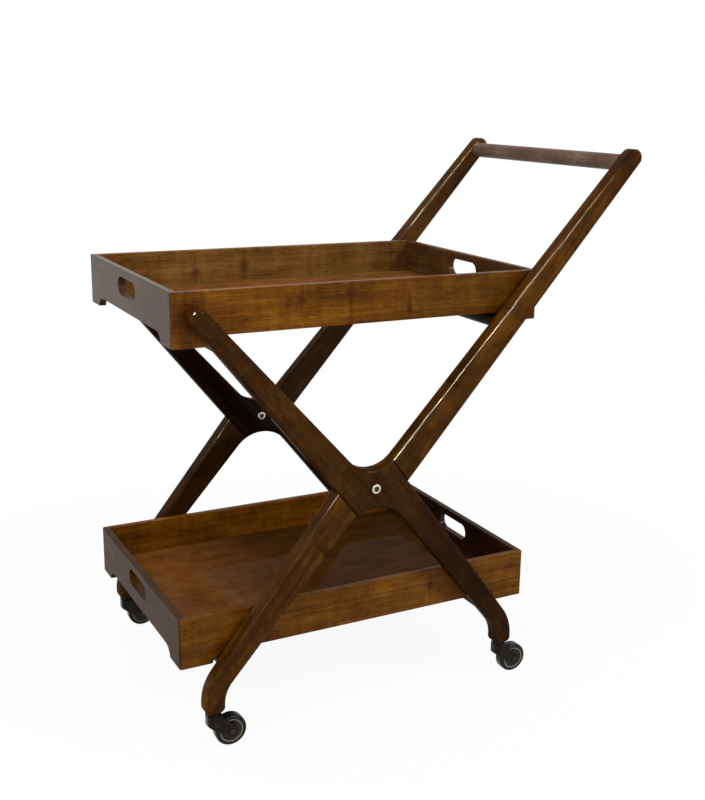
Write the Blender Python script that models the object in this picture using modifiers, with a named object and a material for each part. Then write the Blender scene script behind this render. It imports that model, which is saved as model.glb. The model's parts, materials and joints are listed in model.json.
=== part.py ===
"""Bar cart: two lift-off trays carried on the cross rails of two half-lapped X frames on casters.

Metres, +Z up. +X points from the front end to the handle end, -Y is the near side.
The origin lies on the floor under the middle of the cart's bounding box.
"""
import math

import bmesh
import bpy
from mathutils import Vector

# Driving sizes of the whole cart
TRAY_LENGTH = 0.600
TRAY_WIDTH = 0.410
TRAY_HEIGHT = 0.078
TRAY_SIDE_PLAY = 0.004
LEG_THICKNESS = 0.0265
FOOT_DROP = 0.3105
CASTER_HEIGHT = 0.058

# Joints between pieces
CONTACT_GAP = 0.0003
MITRE_GAP = 0.00022
CUT_OVERRUN = 0.004

# Leg frames, measured from the cross pivot in the plane of the frame
CROTCH_FRONT_X = 0.062
CROTCH_HANDLE_X = 0.058
CROTCH_HANDLE_Z = 0.003
TOP_FILLET_X = -0.003
TOP_FILLET_Z = 0.080
TOP_FILLET_RADIUS = 0.051
LOW_FILLET_X = 0.003
LOW_FILLET_Z = 0.0942
LOW_FILLET_RADIUS = 0.0618
HANDLE_REACH = 0.1585
HANDLE_TIP_Z = 0.4835
HANDLE_TIP_RADIUS = 0.0134
FRONT_TIP_INSET = 0.031
FRONT_TIP_Z = 0.277
FRONT_TIP_RADIUS = 0.013
FRONT_FOOT_INSET = 0.0273
HANDLE_FOOT_INSET = 0.0373
FOOT_BEND_Z = 0.297
FOOT_BEND_RADIUS = 0.0487
FOOT_WIDTH = 0.031
FOOT_CORNER_RADIUS = 0.009
LEG_EDGE_RADIUS = 0.0055

# Cross rails and handle bar
RAIL_DIAMETER = 0.0265
RAIL_CHAMFER = 0.0012
TOP_RAIL_RISE = 0.2333
LOW_RAIL_DROP = 0.2417
BAR_DIAMETER = 0.0262
BAR_SETBACK = 0.0115
TENON_DIAMETER = 0.016
TENON_LENGTH = 0.014
TENON_CHAMFER = 0.001
SOCKET_CLEARANCE = 0.0003

# Cross bolts and their sleeve nuts
BOLT_HEAD_DIAMETER = 0.015
BOLT_HEAD_PROUD = 0.003
BOLT_HEAD_DOME = 0.0012
BOLT_SHANK_DIAMETER = 0.006
BOLT_SHANK_REACH = 0.007
HEX_SOCKET_WIDTH = 0.0078
HEX_SOCKET_DEPTH = 0.0022
SLEEVE_DIAMETER = 0.010
BOLT_CLEARANCE = 0.0003

# Trays
TRAY_WALL = 0.011
TRAY_CORNER_RADIUS = 0.0045
TRAY_EDGE_EASE = 0.0016
ARCH_HEIGHT = 0.015
ARCH_CURVE = 0.020
FLAT_PAST_RAIL = 0.001
END_FOOT_LENGTH = 0.046
SLOT_LENGTH = 0.088
SLOT_HEIGHT = 0.028
SLOT_RISE = 0.052
FLOOR_THICKNESS = 0.004
FLOOR_TONGUE = 0.0024
FLOOR_LIP = 0.003
GROOVE_DEPTH = 0.005

# Casters
WHEEL_DIAMETER = 0.048
WHEEL_WIDTH = 0.018
WHEEL_TRAIL = 0.025
TYRE_DEPTH = 0.0055
TYRE_SHOULDER = 0.0035
HUB_DIAMETER = 0.0135
HUB_PROUD = 0.0008
WEB_DISH = 0.0025
AXLE_DIAMETER = 0.005
AXLE_HEAD_DIAMETER = 0.009
AXLE_HEAD_THICKNESS = 0.0015
WHEEL_CLEARANCE = 0.0013
FORK_SIDE_CLEARANCE = 0.001
FORK_WALL = 0.0025
FORK_HUB_RADIUS = 0.009
FORK_EDGE_EASE = 0.0008
NECK_DIAMETER = 0.022
NECK_HEIGHT = 0.0155
NECK_CORNER_RADIUS = 0.009
FLANGE_THICKNESS = 0.0035
CROWN_THICKNESS = 0.0045
KINGPIN_DIAMETER = 0.007
KINGPIN_HEAD_DIAMETER = 0.012
KINGPIN_HEAD_THICKNESS = 0.0025
STEM_LENGTH = 0.030
STEM_CHAMFER = 0.001
RUNNING_GAP = 0.0003

# Facets
ARC_STEP_DEG = 15.0
ROUND_SIDES = 20
SMALL_ROUND_SIDES = 12
WHEEL_SIDES = 20
LEG_EDGE_SEGMENTS = 2
SMOOTH_ANGLE_DEG = 35.0
FLAT_ANGLE_DEG = 0.2

# Derived places
HANDLE_TIP_X = TRAY_LENGTH / 2 + HANDLE_REACH
FRONT_TIP_X = TRAY_LENGTH / 2 - FRONT_TIP_INSET
FRONT_FOOT_X = TRAY_LENGTH / 2 - FRONT_FOOT_INSET - FOOT_BEND_RADIUS - FOOT_WIDTH
HANDLE_FOOT_X = TRAY_LENGTH / 2 - HANDLE_FOOT_INSET - FOOT_BEND_RADIUS - FOOT_WIDTH
PIVOT_X = (TRAY_LENGTH / 2 - HANDLE_TIP_X - HANDLE_TIP_RADIUS) / 2
PIVOT_Z = CASTER_HEIGHT + FOOT_DROP
INNER_FACE_Y = TRAY_WIDTH / 2 + TRAY_SIDE_PLAY
LEG_MID_Y = INNER_FACE_Y + LEG_THICKNESS / 2
RAIL_RADIUS = RAIL_DIAMETER / 2
ARCH_SWEEP = math.acos(1 - ARCH_HEIGHT / ARCH_CURVE)
ARCH_RUN = ARCH_CURVE * math.sin(ARCH_SWEEP)

WALNUT = ("stained_walnut", (0.105, 0.048, 0.020), 0.38, 0.0)
TRAY_WOOD = ("tray_walnut", (0.160, 0.075, 0.028), 0.36, 0.0)
FLOOR_WOOD = ("tray_floor_walnut", (0.115, 0.044, 0.018), 0.32, 0.0)
NICKEL = ("nickel_fasteners", (0.62, 0.59, 0.53), 0.26, 1.0)
GUNMETAL = ("caster_metal", (0.045, 0.044, 0.042), 0.30, 0.9)
RUBBER = ("caster_tyre", (0.020, 0.020, 0.020), 0.50, 0.0)
CORE_PLASTIC = ("caster_core", (0.035, 0.034, 0.032), 0.28, 0.0)


def clear_scene():
    for item in list(bpy.data.objects):
        bpy.data.objects.remove(item, do_unlink=True)


def make_collection(name):
    group = bpy.data.collections.new(name)
    bpy.context.scene.collection.children.link(group)
    return group


clear_scene()
PARTS = make_collection("bar_cart")
CUTTERS = make_collection("bar_cart_cutters")


# Materials
def material(spec):
    name, colour, roughness, metallic = spec
    found = bpy.data.materials.get(name)
    if found:
        return found
    made = bpy.data.materials.new(name)
    made.use_nodes = True
    shader = made.node_tree.nodes["Principled BSDF"]
    shader.inputs["Base Color"].default_value = (*colour, 1.0)
    shader.inputs["Roughness"].default_value = roughness
    shader.inputs["Metallic"].default_value = metallic
    return made


# Plane geometry of the frames: points are 2D vectors of x and z
def unit(angle):
    return Vector((math.cos(angle), math.sin(angle)))


def arc(centre, radius, start, end):
    """Points on an arc from one angle to the other, in radians, ends included."""
    steps = max(2, math.ceil(abs(end - start) / math.radians(ARC_STEP_DEG)))
    return [centre + radius * unit(start + (end - start) * i / steps) for i in range(steps + 1)]


def tangent(first, first_offset, second, second_offset):
    """Direction angle of the line that passes two circles, each at a signed offset to its left."""
    run = second - first
    return math.atan2(run.y, run.x) - math.asin((first_offset - second_offset) / run.length)


def left_of(angle):
    return unit(angle + math.pi / 2)


def meet_circle(start, angle, centre, radius):
    """First point where a ray meets a circle."""
    along = unit(angle)
    to_centre = centre - start
    middle = to_centre.dot(along)
    half = math.sqrt(radius ** 2 - (to_centre - middle * along).length_squared)
    return start + (middle - half) * along


def angle_from(centre, point):
    offset = point - centre
    return math.atan2(offset.y, offset.x)


class LegShape:
    """Side view of one leg that rises to +X, about the cross pivot.

    The four edges are tangents of the tip circle, the two hub fillets and the foot bend, or
    pass through the sharp crotches. The hub ends on the seams, the lower crotch's edge carried
    up and the upper crotch's edge carried down. Facing is -1 for a leg that stands mirrored.
    """

    def __init__(self, tip, tip_radius, foot_x, upper_crotch, lower_crotch, facing):
        self.tip = tip
        self.tip_radius = tip_radius
        self.upper_crotch = upper_crotch
        self.lower_crotch = lower_crotch
        self.top_fillet = Vector((facing * TOP_FILLET_X, TOP_FILLET_Z))
        self.low_fillet = Vector((facing * LOW_FILLET_X, -LOW_FILLET_Z))
        self.foot = Vector((-foot_x, -FOOT_BEND_Z))
        self.outer_bend = FOOT_BEND_RADIUS + FOOT_WIDTH
        self.foot_centre_x = self.foot.x - FOOT_BEND_RADIUS - FOOT_WIDTH / 2
        self.upper_left = tangent(self.top_fillet, -TOP_FILLET_RADIUS, tip, tip_radius)
        self.upper_right = tangent(upper_crotch, 0, tip, -tip_radius)
        self.lower_left = tangent(self.foot, self.outer_bend, lower_crotch, 0)
        self.lower_right = tangent(self.foot, FOOT_BEND_RADIUS, self.low_fillet, LOW_FILLET_RADIUS)
        self.top_seam = meet_circle(lower_crotch, self.lower_left, self.top_fillet, TOP_FILLET_RADIUS)
        self.low_seam = meet_circle(upper_crotch, self.upper_right + math.pi, self.low_fillet,
                                    LOW_FILLET_RADIUS)

    def outline(self):
        """Anticlockwise outline, and the marks of the two seam edges as pairs of its points."""
        top_start = self.upper_left - math.pi / 2
        low_start = self.lower_right + math.pi / 2
        points = arc(self.tip, self.tip_radius, self.upper_right - math.pi / 2, self.upper_left + math.pi / 2)
        points += arc(self.top_fillet, TOP_FILLET_RADIUS, top_start,
                      angle_from(self.top_fillet, self.top_seam))
        points += [self.lower_crotch]
        points += arc(self.foot, self.outer_bend, self.lower_left + math.pi / 2, math.pi)
        points += self.foot_end()
        points += arc(self.foot, FOOT_BEND_RADIUS, math.pi, low_start)
        points += arc(self.low_fillet, LOW_FILLET_RADIUS, low_start,
                      angle_from(self.low_fillet, self.low_seam))
        points += [self.upper_crotch]
        seams = [(self.top_seam, self.lower_crotch), (self.low_seam, self.upper_crotch)]
        return points, seams

    def foot_end(self):
        left = self.foot.x - self.outer_bend + FOOT_CORNER_RADIUS
        right = self.foot.x - FOOT_BEND_RADIUS - FOOT_CORNER_RADIUS
        level = FOOT_CORNER_RADIUS - FOOT_DROP
        corner = arc(Vector((left, level)), FOOT_CORNER_RADIUS, math.pi, 1.5 * math.pi)
        corner += arc(Vector((right, level)), FOOT_CORNER_RADIUS, 1.5 * math.pi, 2 * math.pi)
        return corner

    def hub_strip(self, clearance):
        """Band between this leg's seams, widened by a clearance, that the other leg gives way to."""
        reach = (self.upper_crotch - self.lower_crotch).length
        up_side = clearance * left_of(self.lower_left)
        low_side = -clearance * left_of(self.upper_right)
        up_along = reach * unit(self.lower_left)
        low_along = reach * unit(self.upper_right)
        return [self.lower_crotch + up_side - up_along, self.upper_crotch + low_side - low_along,
                self.upper_crotch + low_side + low_along, self.lower_crotch + up_side + up_along]

    def middle_at(self, height):
        """Middle of the leg's width at a height above or below the pivot."""
        if height > 0:
            left = self.cross(self.top_fillet - TOP_FILLET_RADIUS * left_of(self.upper_left),
                              self.upper_left, height)
            right = self.cross(self.upper_crotch, self.upper_right, height)
        else:
            left = self.cross(self.lower_crotch, self.lower_left, height)
            right = self.cross(self.low_fillet + LOW_FILLET_RADIUS * left_of(self.lower_right),
                               self.lower_right, height)
        return Vector(((left + right) / 2, height))

    @staticmethod
    def cross(point, angle, height):
        return point.x + (height - point.y) / math.tan(angle)


def mirrored(points):
    return [Vector((-p.x, p.y)) for p in reversed(points)]


def leg_shapes():
    front_crotch = Vector((CROTCH_FRONT_X, 0))
    handle_crotch = Vector((CROTCH_HANDLE_X, CROTCH_HANDLE_Z))
    handle_leg = LegShape(Vector((HANDLE_TIP_X, HANDLE_TIP_Z)), HANDLE_TIP_RADIUS, FRONT_FOOT_X,
                          handle_crotch, Vector((-front_crotch.x, front_crotch.y)), 1)
    cross_leg = LegShape(Vector((FRONT_TIP_X, FRONT_TIP_Z)), FRONT_TIP_RADIUS, HANDLE_FOOT_X,
                         front_crotch, Vector((-handle_crotch.x, handle_crotch.y)), -1)
    return handle_leg, cross_leg


HANDLE_LEG, CROSS_LEG = leg_shapes()


# Objects
def link(name, mesh, group):
    item = bpy.data.objects.new(name, mesh)
    group.objects.link(item)
    return item


def as_mesh(curve_object):
    """The curve's evaluated solid as a welded mesh object in its place."""
    bpy.context.view_layer.update()
    evaluated = curve_object.evaluated_get(bpy.context.evaluated_depsgraph_get())
    mesh = bpy.data.meshes.new_from_object(evaluated)
    work = bmesh.new()
    work.from_mesh(mesh)
    bmesh.ops.remove_doubles(work, verts=work.verts, dist=CONTACT_GAP / 10)
    bmesh.ops.dissolve_limit(work, angle_limit=math.radians(FLAT_ANGLE_DEG), verts=work.verts,
                             edges=work.edges)
    bmesh.ops.recalc_face_normals(work, faces=work.faces)
    work.to_mesh(mesh)
    work.free()
    solid = link(curve_object.name + "_mesh", mesh, curve_object.users_collection[0])
    solid.matrix_world = curve_object.matrix_world.copy()
    name = curve_object.name
    bpy.data.objects.remove(curve_object, do_unlink=True)
    solid.name = name
    return solid


def flat_solid(name, outline, thickness, group=None):
    """Outline extruded to both sides of its own plane; x and z of the frame become x and y here."""
    curve = bpy.data.curves.new(name, "CURVE")
    curve.dimensions = "2D"
    curve.fill_mode = "BOTH"
    curve.extrude = thickness / 2
    spline = curve.splines.new("POLY")
    spline.points.add(len(outline) - 1)
    for point, place in zip(spline.points, outline):
        point.co = (place.x, place.y, 0, 1)
    spline.use_cyclic_u = True
    item = link(name, curve, group or PARTS)
    return as_mesh(item)


def upright(item):
    """Turn a flat solid's plane to XZ, its thickness along Y."""
    bake(item, ((1, 0, 0), (0, 0, -1), (0, 1, 0)))
    return item


def bake(item, rows):
    for vert in item.data.vertices:
        place = vert.co.copy()
        vert.co = [sum(row[i] * place[i] for i in range(3)) for row in rows]
    item.data.update()


def weigh_edges(item, test):
    """Give bevel weight to the edges whose two ends pass a test."""
    mesh = item.data
    weights = mesh.attributes.new("bevel_weight_edge", "FLOAT", "EDGE")
    for edge in mesh.edges:
        ends = [mesh.vertices[i].co for i in edge.vertices]
        weights.data[edge.index].value = 1.0 if test(*ends) else 0.0


def round_edges(item, width, segments):
    bevel = item.modifiers.new("rounded_edges", "BEVEL")
    bevel.limit_method = "WEIGHT"
    bevel.width = width
    bevel.segments = segments
    bevel.use_clamp_overlap = False
    return bevel


def cut(item, cutter):
    boolean = item.modifiers.new("cut_" + cutter.name, "BOOLEAN")
    boolean.operation = "DIFFERENCE"
    boolean.solver = "EXACT"
    boolean.object = cutter
    cutter.hide_render = True
    cutter.display_type = "WIRE"


def finish(item, spec):
    item.data.materials.clear()
    item.data.materials.append(material(spec))
    item.data.shade_smooth()
    item.data.set_sharp_from_angle(angle=math.radians(SMOOTH_ANGLE_DEG))
    return item


def box_cutter(name, low, high):
    low = Vector(low)
    high = Vector(high)
    mesh = bpy.data.meshes.new(name)
    work = bmesh.new()
    bmesh.ops.create_cube(work, size=1.0)
    bmesh.ops.scale(work, vec=high - low, verts=work.verts)
    bmesh.ops.translate(work, vec=(low + high) / 2, verts=work.verts)
    work.to_mesh(mesh)
    work.free()
    return link(name, mesh, CUTTERS)


def round_cutter(name, centre, direction, radius, length, sides=ROUND_SIDES):
    """Cylinder about a centre, with its axis along a direction."""
    mesh = bpy.data.meshes.new(name)
    work = bmesh.new()
    bmesh.ops.create_cone(work, cap_ends=True, segments=sides, radius1=radius, radius2=radius,
                          depth=length)
    turn = Vector((0, 0, 1)).rotation_difference(Vector(direction)).to_matrix()
    bmesh.ops.rotate(work, cent=(0, 0, 0), matrix=turn, verts=work.verts)
    bmesh.ops.translate(work, vec=centre, verts=work.verts)
    work.to_mesh(mesh)
    work.free()
    return link(name, mesh, CUTTERS)


def turned(name, profile, place, axis, sides, spec):
    """Solid of revolution: the profile gives radius and height, top to bottom down the outside."""
    mesh = bpy.data.meshes.new(name)
    verts = [(radius, 0, height) for radius, height in profile]
    closed = profile[0][0] > 0
    edges = [(i, i + 1) for i in range(len(verts) - 1)]
    if closed:
        edges.append((len(verts) - 1, 0))
    mesh.from_pydata(verts, edges, [])
    item = link(name, mesh, PARTS)
    screw = item.modifiers.new("turning", "SCREW")
    screw.steps = sides
    screw.render_steps = sides
    screw.use_merge_vertices = True
    screw.merge_threshold = CONTACT_GAP / 10
    screw.use_normal_calculate = False
    item.location = place
    item.rotation_mode = "QUATERNION"
    item.rotation_quaternion = Vector((0, 0, 1)).rotation_difference(Vector(axis))
    return turned_finish(item, spec)


def turned_finish(item, spec):
    item.data.materials.append(material(spec))
    smooth = item.modifiers["turning"]
    smooth.use_smooth_shade = True
    return item


def world(point, y):
    """Frame place of a side-view point about the pivot."""
    return Vector((PIVOT_X + point.x, y, PIVOT_Z + point.y))


# Legs
def make_leg(name, shape, side, flip, lap_side, rails, other):
    """One leg: side is -1 near and +1 far, flip mirrors it in X, lap_side is the half that stays whole."""
    points, seams = shape.outline()
    strip = other.hub_strip(CONTACT_GAP)
    sign = -1 if flip else 1
    if flip:
        points = mirrored(points)
    else:
        strip = mirrored(strip)
    leg = upright(flat_solid(name, points, LEG_THICKNESS))
    seam_ends = [[Vector((sign * p.x, p.y)) for p in seam] for seam in seams]

    def on_round(start, end):
        flat = abs(start.y - end.y) < CONTACT_GAP
        ends = [Vector((v.x, v.z)) for v in (start, end)]
        on_seam = any(all(min((e - s).length for s in seam) < CONTACT_GAP for e in ends)
                      for seam in seam_ends)
        return flat and not on_seam

    weigh_edges(leg, on_round)
    leg.location = world(Vector((0, 0)), side * LEG_MID_Y)
    round_edges(leg, LEG_EDGE_RADIUS, LEG_EDGE_SEGMENTS)
    cut(leg, lap_cutter(name, strip, side, -lap_side))
    cut(leg, bolt_hole(name, side, lap_side))
    for rail_name, rail in rails:
        cut(leg, socket(f"{name}_{rail_name}", rail, side))
    cut(leg, stem_hole(name, shape, side, sign))
    return finish(leg, WALNUT)


def lap_cutter(name, strip, side, cut_side):
    """Prism over half of the leg's thickness, on the side of Y that cut_side gives."""
    depth = LEG_THICKNESS / 2 + CONTACT_GAP / 2 + CUT_OVERRUN
    cutter = upright(flat_solid(name + "_lap", strip, depth, CUTTERS))
    middle = side * LEG_MID_Y + cut_side * (depth / 2 - CONTACT_GAP / 2)
    cutter.location = world(Vector((0, 0)), middle)
    return cutter


def bolt_hole(name, side, lap_side):
    """The near half of the lap takes the bolt's shank and the far half its sleeve nut."""
    diameter = BOLT_SHANK_DIAMETER if lap_side < 0 else SLEEVE_DIAMETER
    centre = world(Vector((0, 0)), side * LEG_MID_Y)
    return round_cutter(name + "_bolt_hole", centre, (0, 1, 0), diameter / 2 + BOLT_CLEARANCE,
                        LEG_THICKNESS + 2 * CUT_OVERRUN, SMALL_ROUND_SIDES)


def socket(name, rail, side):
    """Blind hole for a rail's tenon in the leg's inner face."""
    depth = TENON_LENGTH + SOCKET_CLEARANCE
    length = depth + CUT_OVERRUN
    centre = world(rail, side * (INNER_FACE_Y + depth - length / 2))
    return round_cutter(name + "_socket", centre, (0, 1, 0), TENON_DIAMETER / 2 + SOCKET_CLEARANCE, length)


def stem_hole(name, shape, side, sign):
    length = STEM_LENGTH + CONTACT_GAP + CUT_OVERRUN
    top = -FOOT_DROP + STEM_LENGTH + CONTACT_GAP
    centre = world(Vector((sign * shape.foot_centre_x, top - length / 2)), side * LEG_MID_Y)
    return round_cutter(name + "_stem_hole", centre, (0, 0, 1), KINGPIN_DIAMETER / 2 + BOLT_CLEARANCE,
                        length, SMALL_ROUND_SIDES)


def rail_places():
    """Centre of each cross rail and of the handle bar in side view, by the leg that holds it."""
    bar_along = (HANDLE_LEG.upper_left + HANDLE_LEG.upper_right) / 2
    flipped = CROSS_LEG.middle_at(TOP_RAIL_RISE)
    low_flipped = CROSS_LEG.middle_at(-LOW_RAIL_DROP)
    return {
        "handle_bar": ("handle", HANDLE_LEG.tip - BAR_SETBACK * unit(bar_along)),
        "top_handle_rail": ("handle", HANDLE_LEG.middle_at(TOP_RAIL_RISE)),
        "bottom_front_rail": ("handle", HANDLE_LEG.middle_at(-LOW_RAIL_DROP)),
        "top_front_rail": ("cross", Vector((-flipped.x, flipped.y))),
        "bottom_handle_rail": ("cross", Vector((-low_flipped.x, low_flipped.y))),
    }


RAILS = rail_places()


def make_legs():
    for side, side_name in ((-1, "near"), (1, "far")):
        handle_rails = [(name, at) for name, (leg, at) in RAILS.items() if leg == "handle"]
        cross_rails = [(name, at) for name, (leg, at) in RAILS.items() if leg == "cross"]
        make_leg(side_name + "_handle_leg", HANDLE_LEG, side, False, 1, handle_rails, CROSS_LEG)
        make_leg(side_name + "_cross_leg", CROSS_LEG, side, True, -1, cross_rails, HANDLE_LEG)


# Rails
def make_rails():
    for name, (_, at) in RAILS.items():
        radius = (BAR_DIAMETER if name == "handle_bar" else RAIL_DIAMETER) / 2
        half = INNER_FACE_Y - CONTACT_GAP
        tenon = TENON_DIAMETER / 2
        reach = INNER_FACE_Y + TENON_LENGTH
        upper = [(0, reach), (tenon - TENON_CHAMFER, reach), (tenon, reach - TENON_CHAMFER),
                 (tenon, half), (radius - RAIL_CHAMFER, half), (radius, half - RAIL_CHAMFER)]
        lower = [(r, -h) for r, h in reversed(upper)]
        turned(name, upper + lower, world(at, 0), (0, 1, 0), ROUND_SIDES, WALNUT)


# Cross bolts
def make_bolts():
    outer = LEG_THICKNESS / 2 + CONTACT_GAP
    head = BOLT_HEAD_DIAMETER / 2
    top = outer + BOLT_HEAD_PROUD
    rim = top - BOLT_HEAD_DOME
    shank = BOLT_SHANK_DIAMETER / 2
    sleeve = SLEEVE_DIAMETER / 2
    bore = shank + BOLT_CLEARANCE
    for side, side_name in ((-1, "near"), (1, "far")):
        centre = world(Vector((0, 0)), side * LEG_MID_Y)
        profile = [(0, top), (head - BOLT_HEAD_DOME, top), (head, rim), (head, outer), (shank, outer),
                   (shank, -BOLT_SHANK_REACH), (0, -BOLT_SHANK_REACH)]
        bolt = turned(side_name + "_cross_bolt", profile, centre, (0, -1, 0), ROUND_SIDES, NICKEL)
        hex_depth = HEX_SOCKET_DEPTH + CUT_OVERRUN
        mouth = centre - Vector((0, top - HEX_SOCKET_DEPTH + hex_depth / 2, 0))
        hexagon = HEX_SOCKET_WIDTH / math.sqrt(3)
        cut(bolt, round_cutter(side_name + "_hex", mouth, (0, 1, 0), hexagon, hex_depth, 6))
        bottom = -BOLT_SHANK_REACH - CONTACT_GAP
        nut = [(0, top), (head - BOLT_HEAD_DOME, top), (head, rim), (head, outer), (sleeve, outer),
               (sleeve, CONTACT_GAP), (bore, CONTACT_GAP), (bore, -bottom), (0, -bottom)]
        turned(side_name + "_sleeve_nut", nut, centre, (0, 1, 0), ROUND_SIDES, NICKEL)


# Trays
def arch_outline(left_end, right_end):
    """Opening under a board between the ends of its feet, with hollow curves up to the arch."""
    left = Vector((left_end + ARCH_RUN, ARCH_HEIGHT - ARCH_CURVE))
    right = Vector((right_end - ARCH_RUN, ARCH_HEIGHT - ARCH_CURVE))
    points = arc(right, ARCH_CURVE, math.pi / 2 - ARCH_SWEEP, math.pi / 2)
    points += arc(left, ARCH_CURVE, math.pi / 2, math.pi / 2 + ARCH_SWEEP)
    points += [Vector((left_end, -CUT_OVERRUN)), Vector((right_end, -CUT_OVERRUN))]
    return points


def slot_outline(length, height, rise):
    offset = (length - height) / 2
    points = arc(Vector((offset, rise)), height / 2, -math.pi / 2, math.pi / 2)
    points += arc(Vector((-offset, rise)), height / 2, math.pi / 2, 1.5 * math.pi)
    return points


def board_plan(length):
    """Plan of a mitred board along x, outer face at y = 0 and inner face at y = wall."""
    half = length / 2 - MITRE_GAP
    corner = TRAY_CORNER_RADIUS
    right = Vector((half - corner, corner))
    outer = arc(right, corner, -math.pi / 2, -math.pi / 4)
    plan = outer + [Vector((half - TRAY_WALL, TRAY_WALL))]
    return plan + [Vector((-p.x, p.y)) for p in reversed(plan)]


def make_board(name, length, turn_z, place, base, spec, arch_ends, slot):
    board = flat_solid(name, board_plan(length), TRAY_HEIGHT)
    for vert in board.data.vertices:
        vert.co.z += TRAY_HEIGHT / 2
    top = TRAY_HEIGHT - CONTACT_GAP

    def on_rim(start, end):
        level = start.z > top and end.z > top
        on_mitre = abs(abs(start.x - end.x) - abs(start.y - end.y)) < CONTACT_GAP / 10
        short = max(start.y, end.y) > TRAY_WALL - CONTACT_GAP and min(start.y, end.y) < TRAY_WALL / 2
        return level and not (on_mitre and short)

    weigh_edges(board, on_rim)
    round_edges(board, TRAY_EDGE_EASE, 1)
    board.rotation_euler = (0, 0, turn_z)
    board.location = (place.x, place.y, base)
    depth = TRAY_WALL + 2 * CUT_OVERRUN
    arch = upright(flat_solid(name + "_arch", arch_outline(*arch_ends), depth, CUTTERS))
    fit_cutter(arch, board)
    cut(board, arch)
    if slot:
        hole = upright(flat_solid(name + "_slot", slot_outline(SLOT_LENGTH, SLOT_HEIGHT, SLOT_RISE),
                                  depth, CUTTERS))
        fit_cutter(hole, board)
        cut(board, hole)
    low = ARCH_HEIGHT + FLOOR_LIP
    high = low + FLOOR_TONGUE + 2 * CONTACT_GAP
    groove = box_cutter(name + "_groove", (-length / 2, TRAY_WALL - GROOVE_DEPTH, low),
                        (length / 2, TRAY_WALL + CUT_OVERRUN, high))
    groove.rotation_euler = board.rotation_euler
    groove.location = board.location
    cut(board, groove)
    return finish(board, spec)


def fit_cutter(cutter, board):
    """Centre an upright cutter in the board's thickness."""
    for vert in cutter.data.vertices:
        vert.co.y += TRAY_WALL / 2
    cutter.rotation_euler = board.rotation_euler
    cutter.location = board.location


def side_arch_ends(level):
    """Front and handle end of the arch in a long side, whose flat runs just past both cross rails."""
    past = FLAT_PAST_RAIL + ARCH_RUN
    return RAILS[level + "_front_rail"][1].x - past, RAILS[level + "_handle_rail"][1].x + past


def make_tray(level, base):
    half_length = TRAY_LENGTH / 2
    half_width = TRAY_WIDTH / 2
    front, handle = side_arch_ends(level)
    across = half_width - END_FOOT_LENGTH
    boards = (
        ("near_side", TRAY_LENGTH, 0, Vector((0, -half_width)), (front, handle), False),
        ("far_side", TRAY_LENGTH, math.pi, Vector((0, half_width)), (-handle, -front), False),
        ("front_end", TRAY_WIDTH, -math.pi / 2, Vector((-half_length, 0)), (-across, across), True),
        ("handle_end", TRAY_WIDTH, math.pi / 2, Vector((half_length, 0)), (-across, across), True),
    )
    for name, length, turn, place, arch_ends, slot in boards:
        shifted = Vector((PIVOT_X + place.x, place.y))
        make_board(f"{level}_tray_{name}", length, turn, shifted, base, TRAY_WOOD, arch_ends, slot)
    make_floor(level + "_tray_floor", base + ARCH_HEIGHT + FLOOR_LIP + CONTACT_GAP)


def make_floor(name, low):
    """Panel between the boards, its edge rebated to a tongue that lies in their grooves."""
    edge = TRAY_WALL - GROOVE_DEPTH + CONTACT_GAP
    length = TRAY_LENGTH - 2 * edge
    width = TRAY_WIDTH - 2 * edge
    mesh = bpy.data.meshes.new(name)
    work = bmesh.new()
    bmesh.ops.create_cube(work, size=1.0)
    bmesh.ops.scale(work, vec=(length, width, FLOOR_TONGUE), verts=work.verts)
    bmesh.ops.translate(work, vec=(0, 0, FLOOR_TONGUE / 2), verts=work.verts)
    top = [face for face in work.faces if face.normal.z > 0.5]
    bmesh.ops.inset_region(work, faces=top, thickness=GROOVE_DEPTH, use_even_offset=True)
    field = bmesh.ops.extrude_discrete_faces(work, faces=top)["faces"]
    raised = {vert for face in field for vert in face.verts}
    bmesh.ops.translate(work, vec=(0, 0, FLOOR_THICKNESS - FLOOR_TONGUE), verts=list(raised))
    work.to_mesh(mesh)
    work.free()
    floor = link(name, mesh, PARTS)
    floor.location = (PIVOT_X, 0, low)
    finish(floor, FLOOR_WOOD)


def make_trays():
    for level in ("top", "bottom"):
        rail_top = PIVOT_Z + RAILS[level + "_front_rail"][1].y + RAIL_RADIUS
        make_tray(level, rail_top + CONTACT_GAP - ARCH_HEIGHT)


# Casters
def fork_outline(wheel, crown_top):
    """Side view of the fork about its stem: upright neck, then cheeks that lean down to the hub."""
    neck = NECK_DIAMETER / 2
    heel = Vector((-neck, crown_top - NECK_HEIGHT))
    shoulder = Vector((neck, crown_top - CROWN_THICKNESS))
    down = tangent(heel, 0, wheel, -FORK_HUB_RADIUS)
    up = tangent(wheel, -FORK_HUB_RADIUS, shoulder, 0)
    points = [shoulder, Vector((neck, crown_top)), Vector((-neck, crown_top)), heel]
    return points + arc(wheel, FORK_HUB_RADIUS, down - math.pi / 2, up - math.pi / 2)


def corner_outline(radius, facing):
    """Plan of what rounding takes off a square corner at the origin that points to -X and -facing."""
    points = arc(Vector((radius, radius)), radius, 1.5 * math.pi, math.pi)
    points += [Vector((-CUT_OVERRUN, radius)), Vector((-CUT_OVERRUN, -CUT_OVERRUN)),
               Vector((radius, -CUT_OVERRUN))]
    return [Vector((p.x, facing * p.y)) for p in points]


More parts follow.
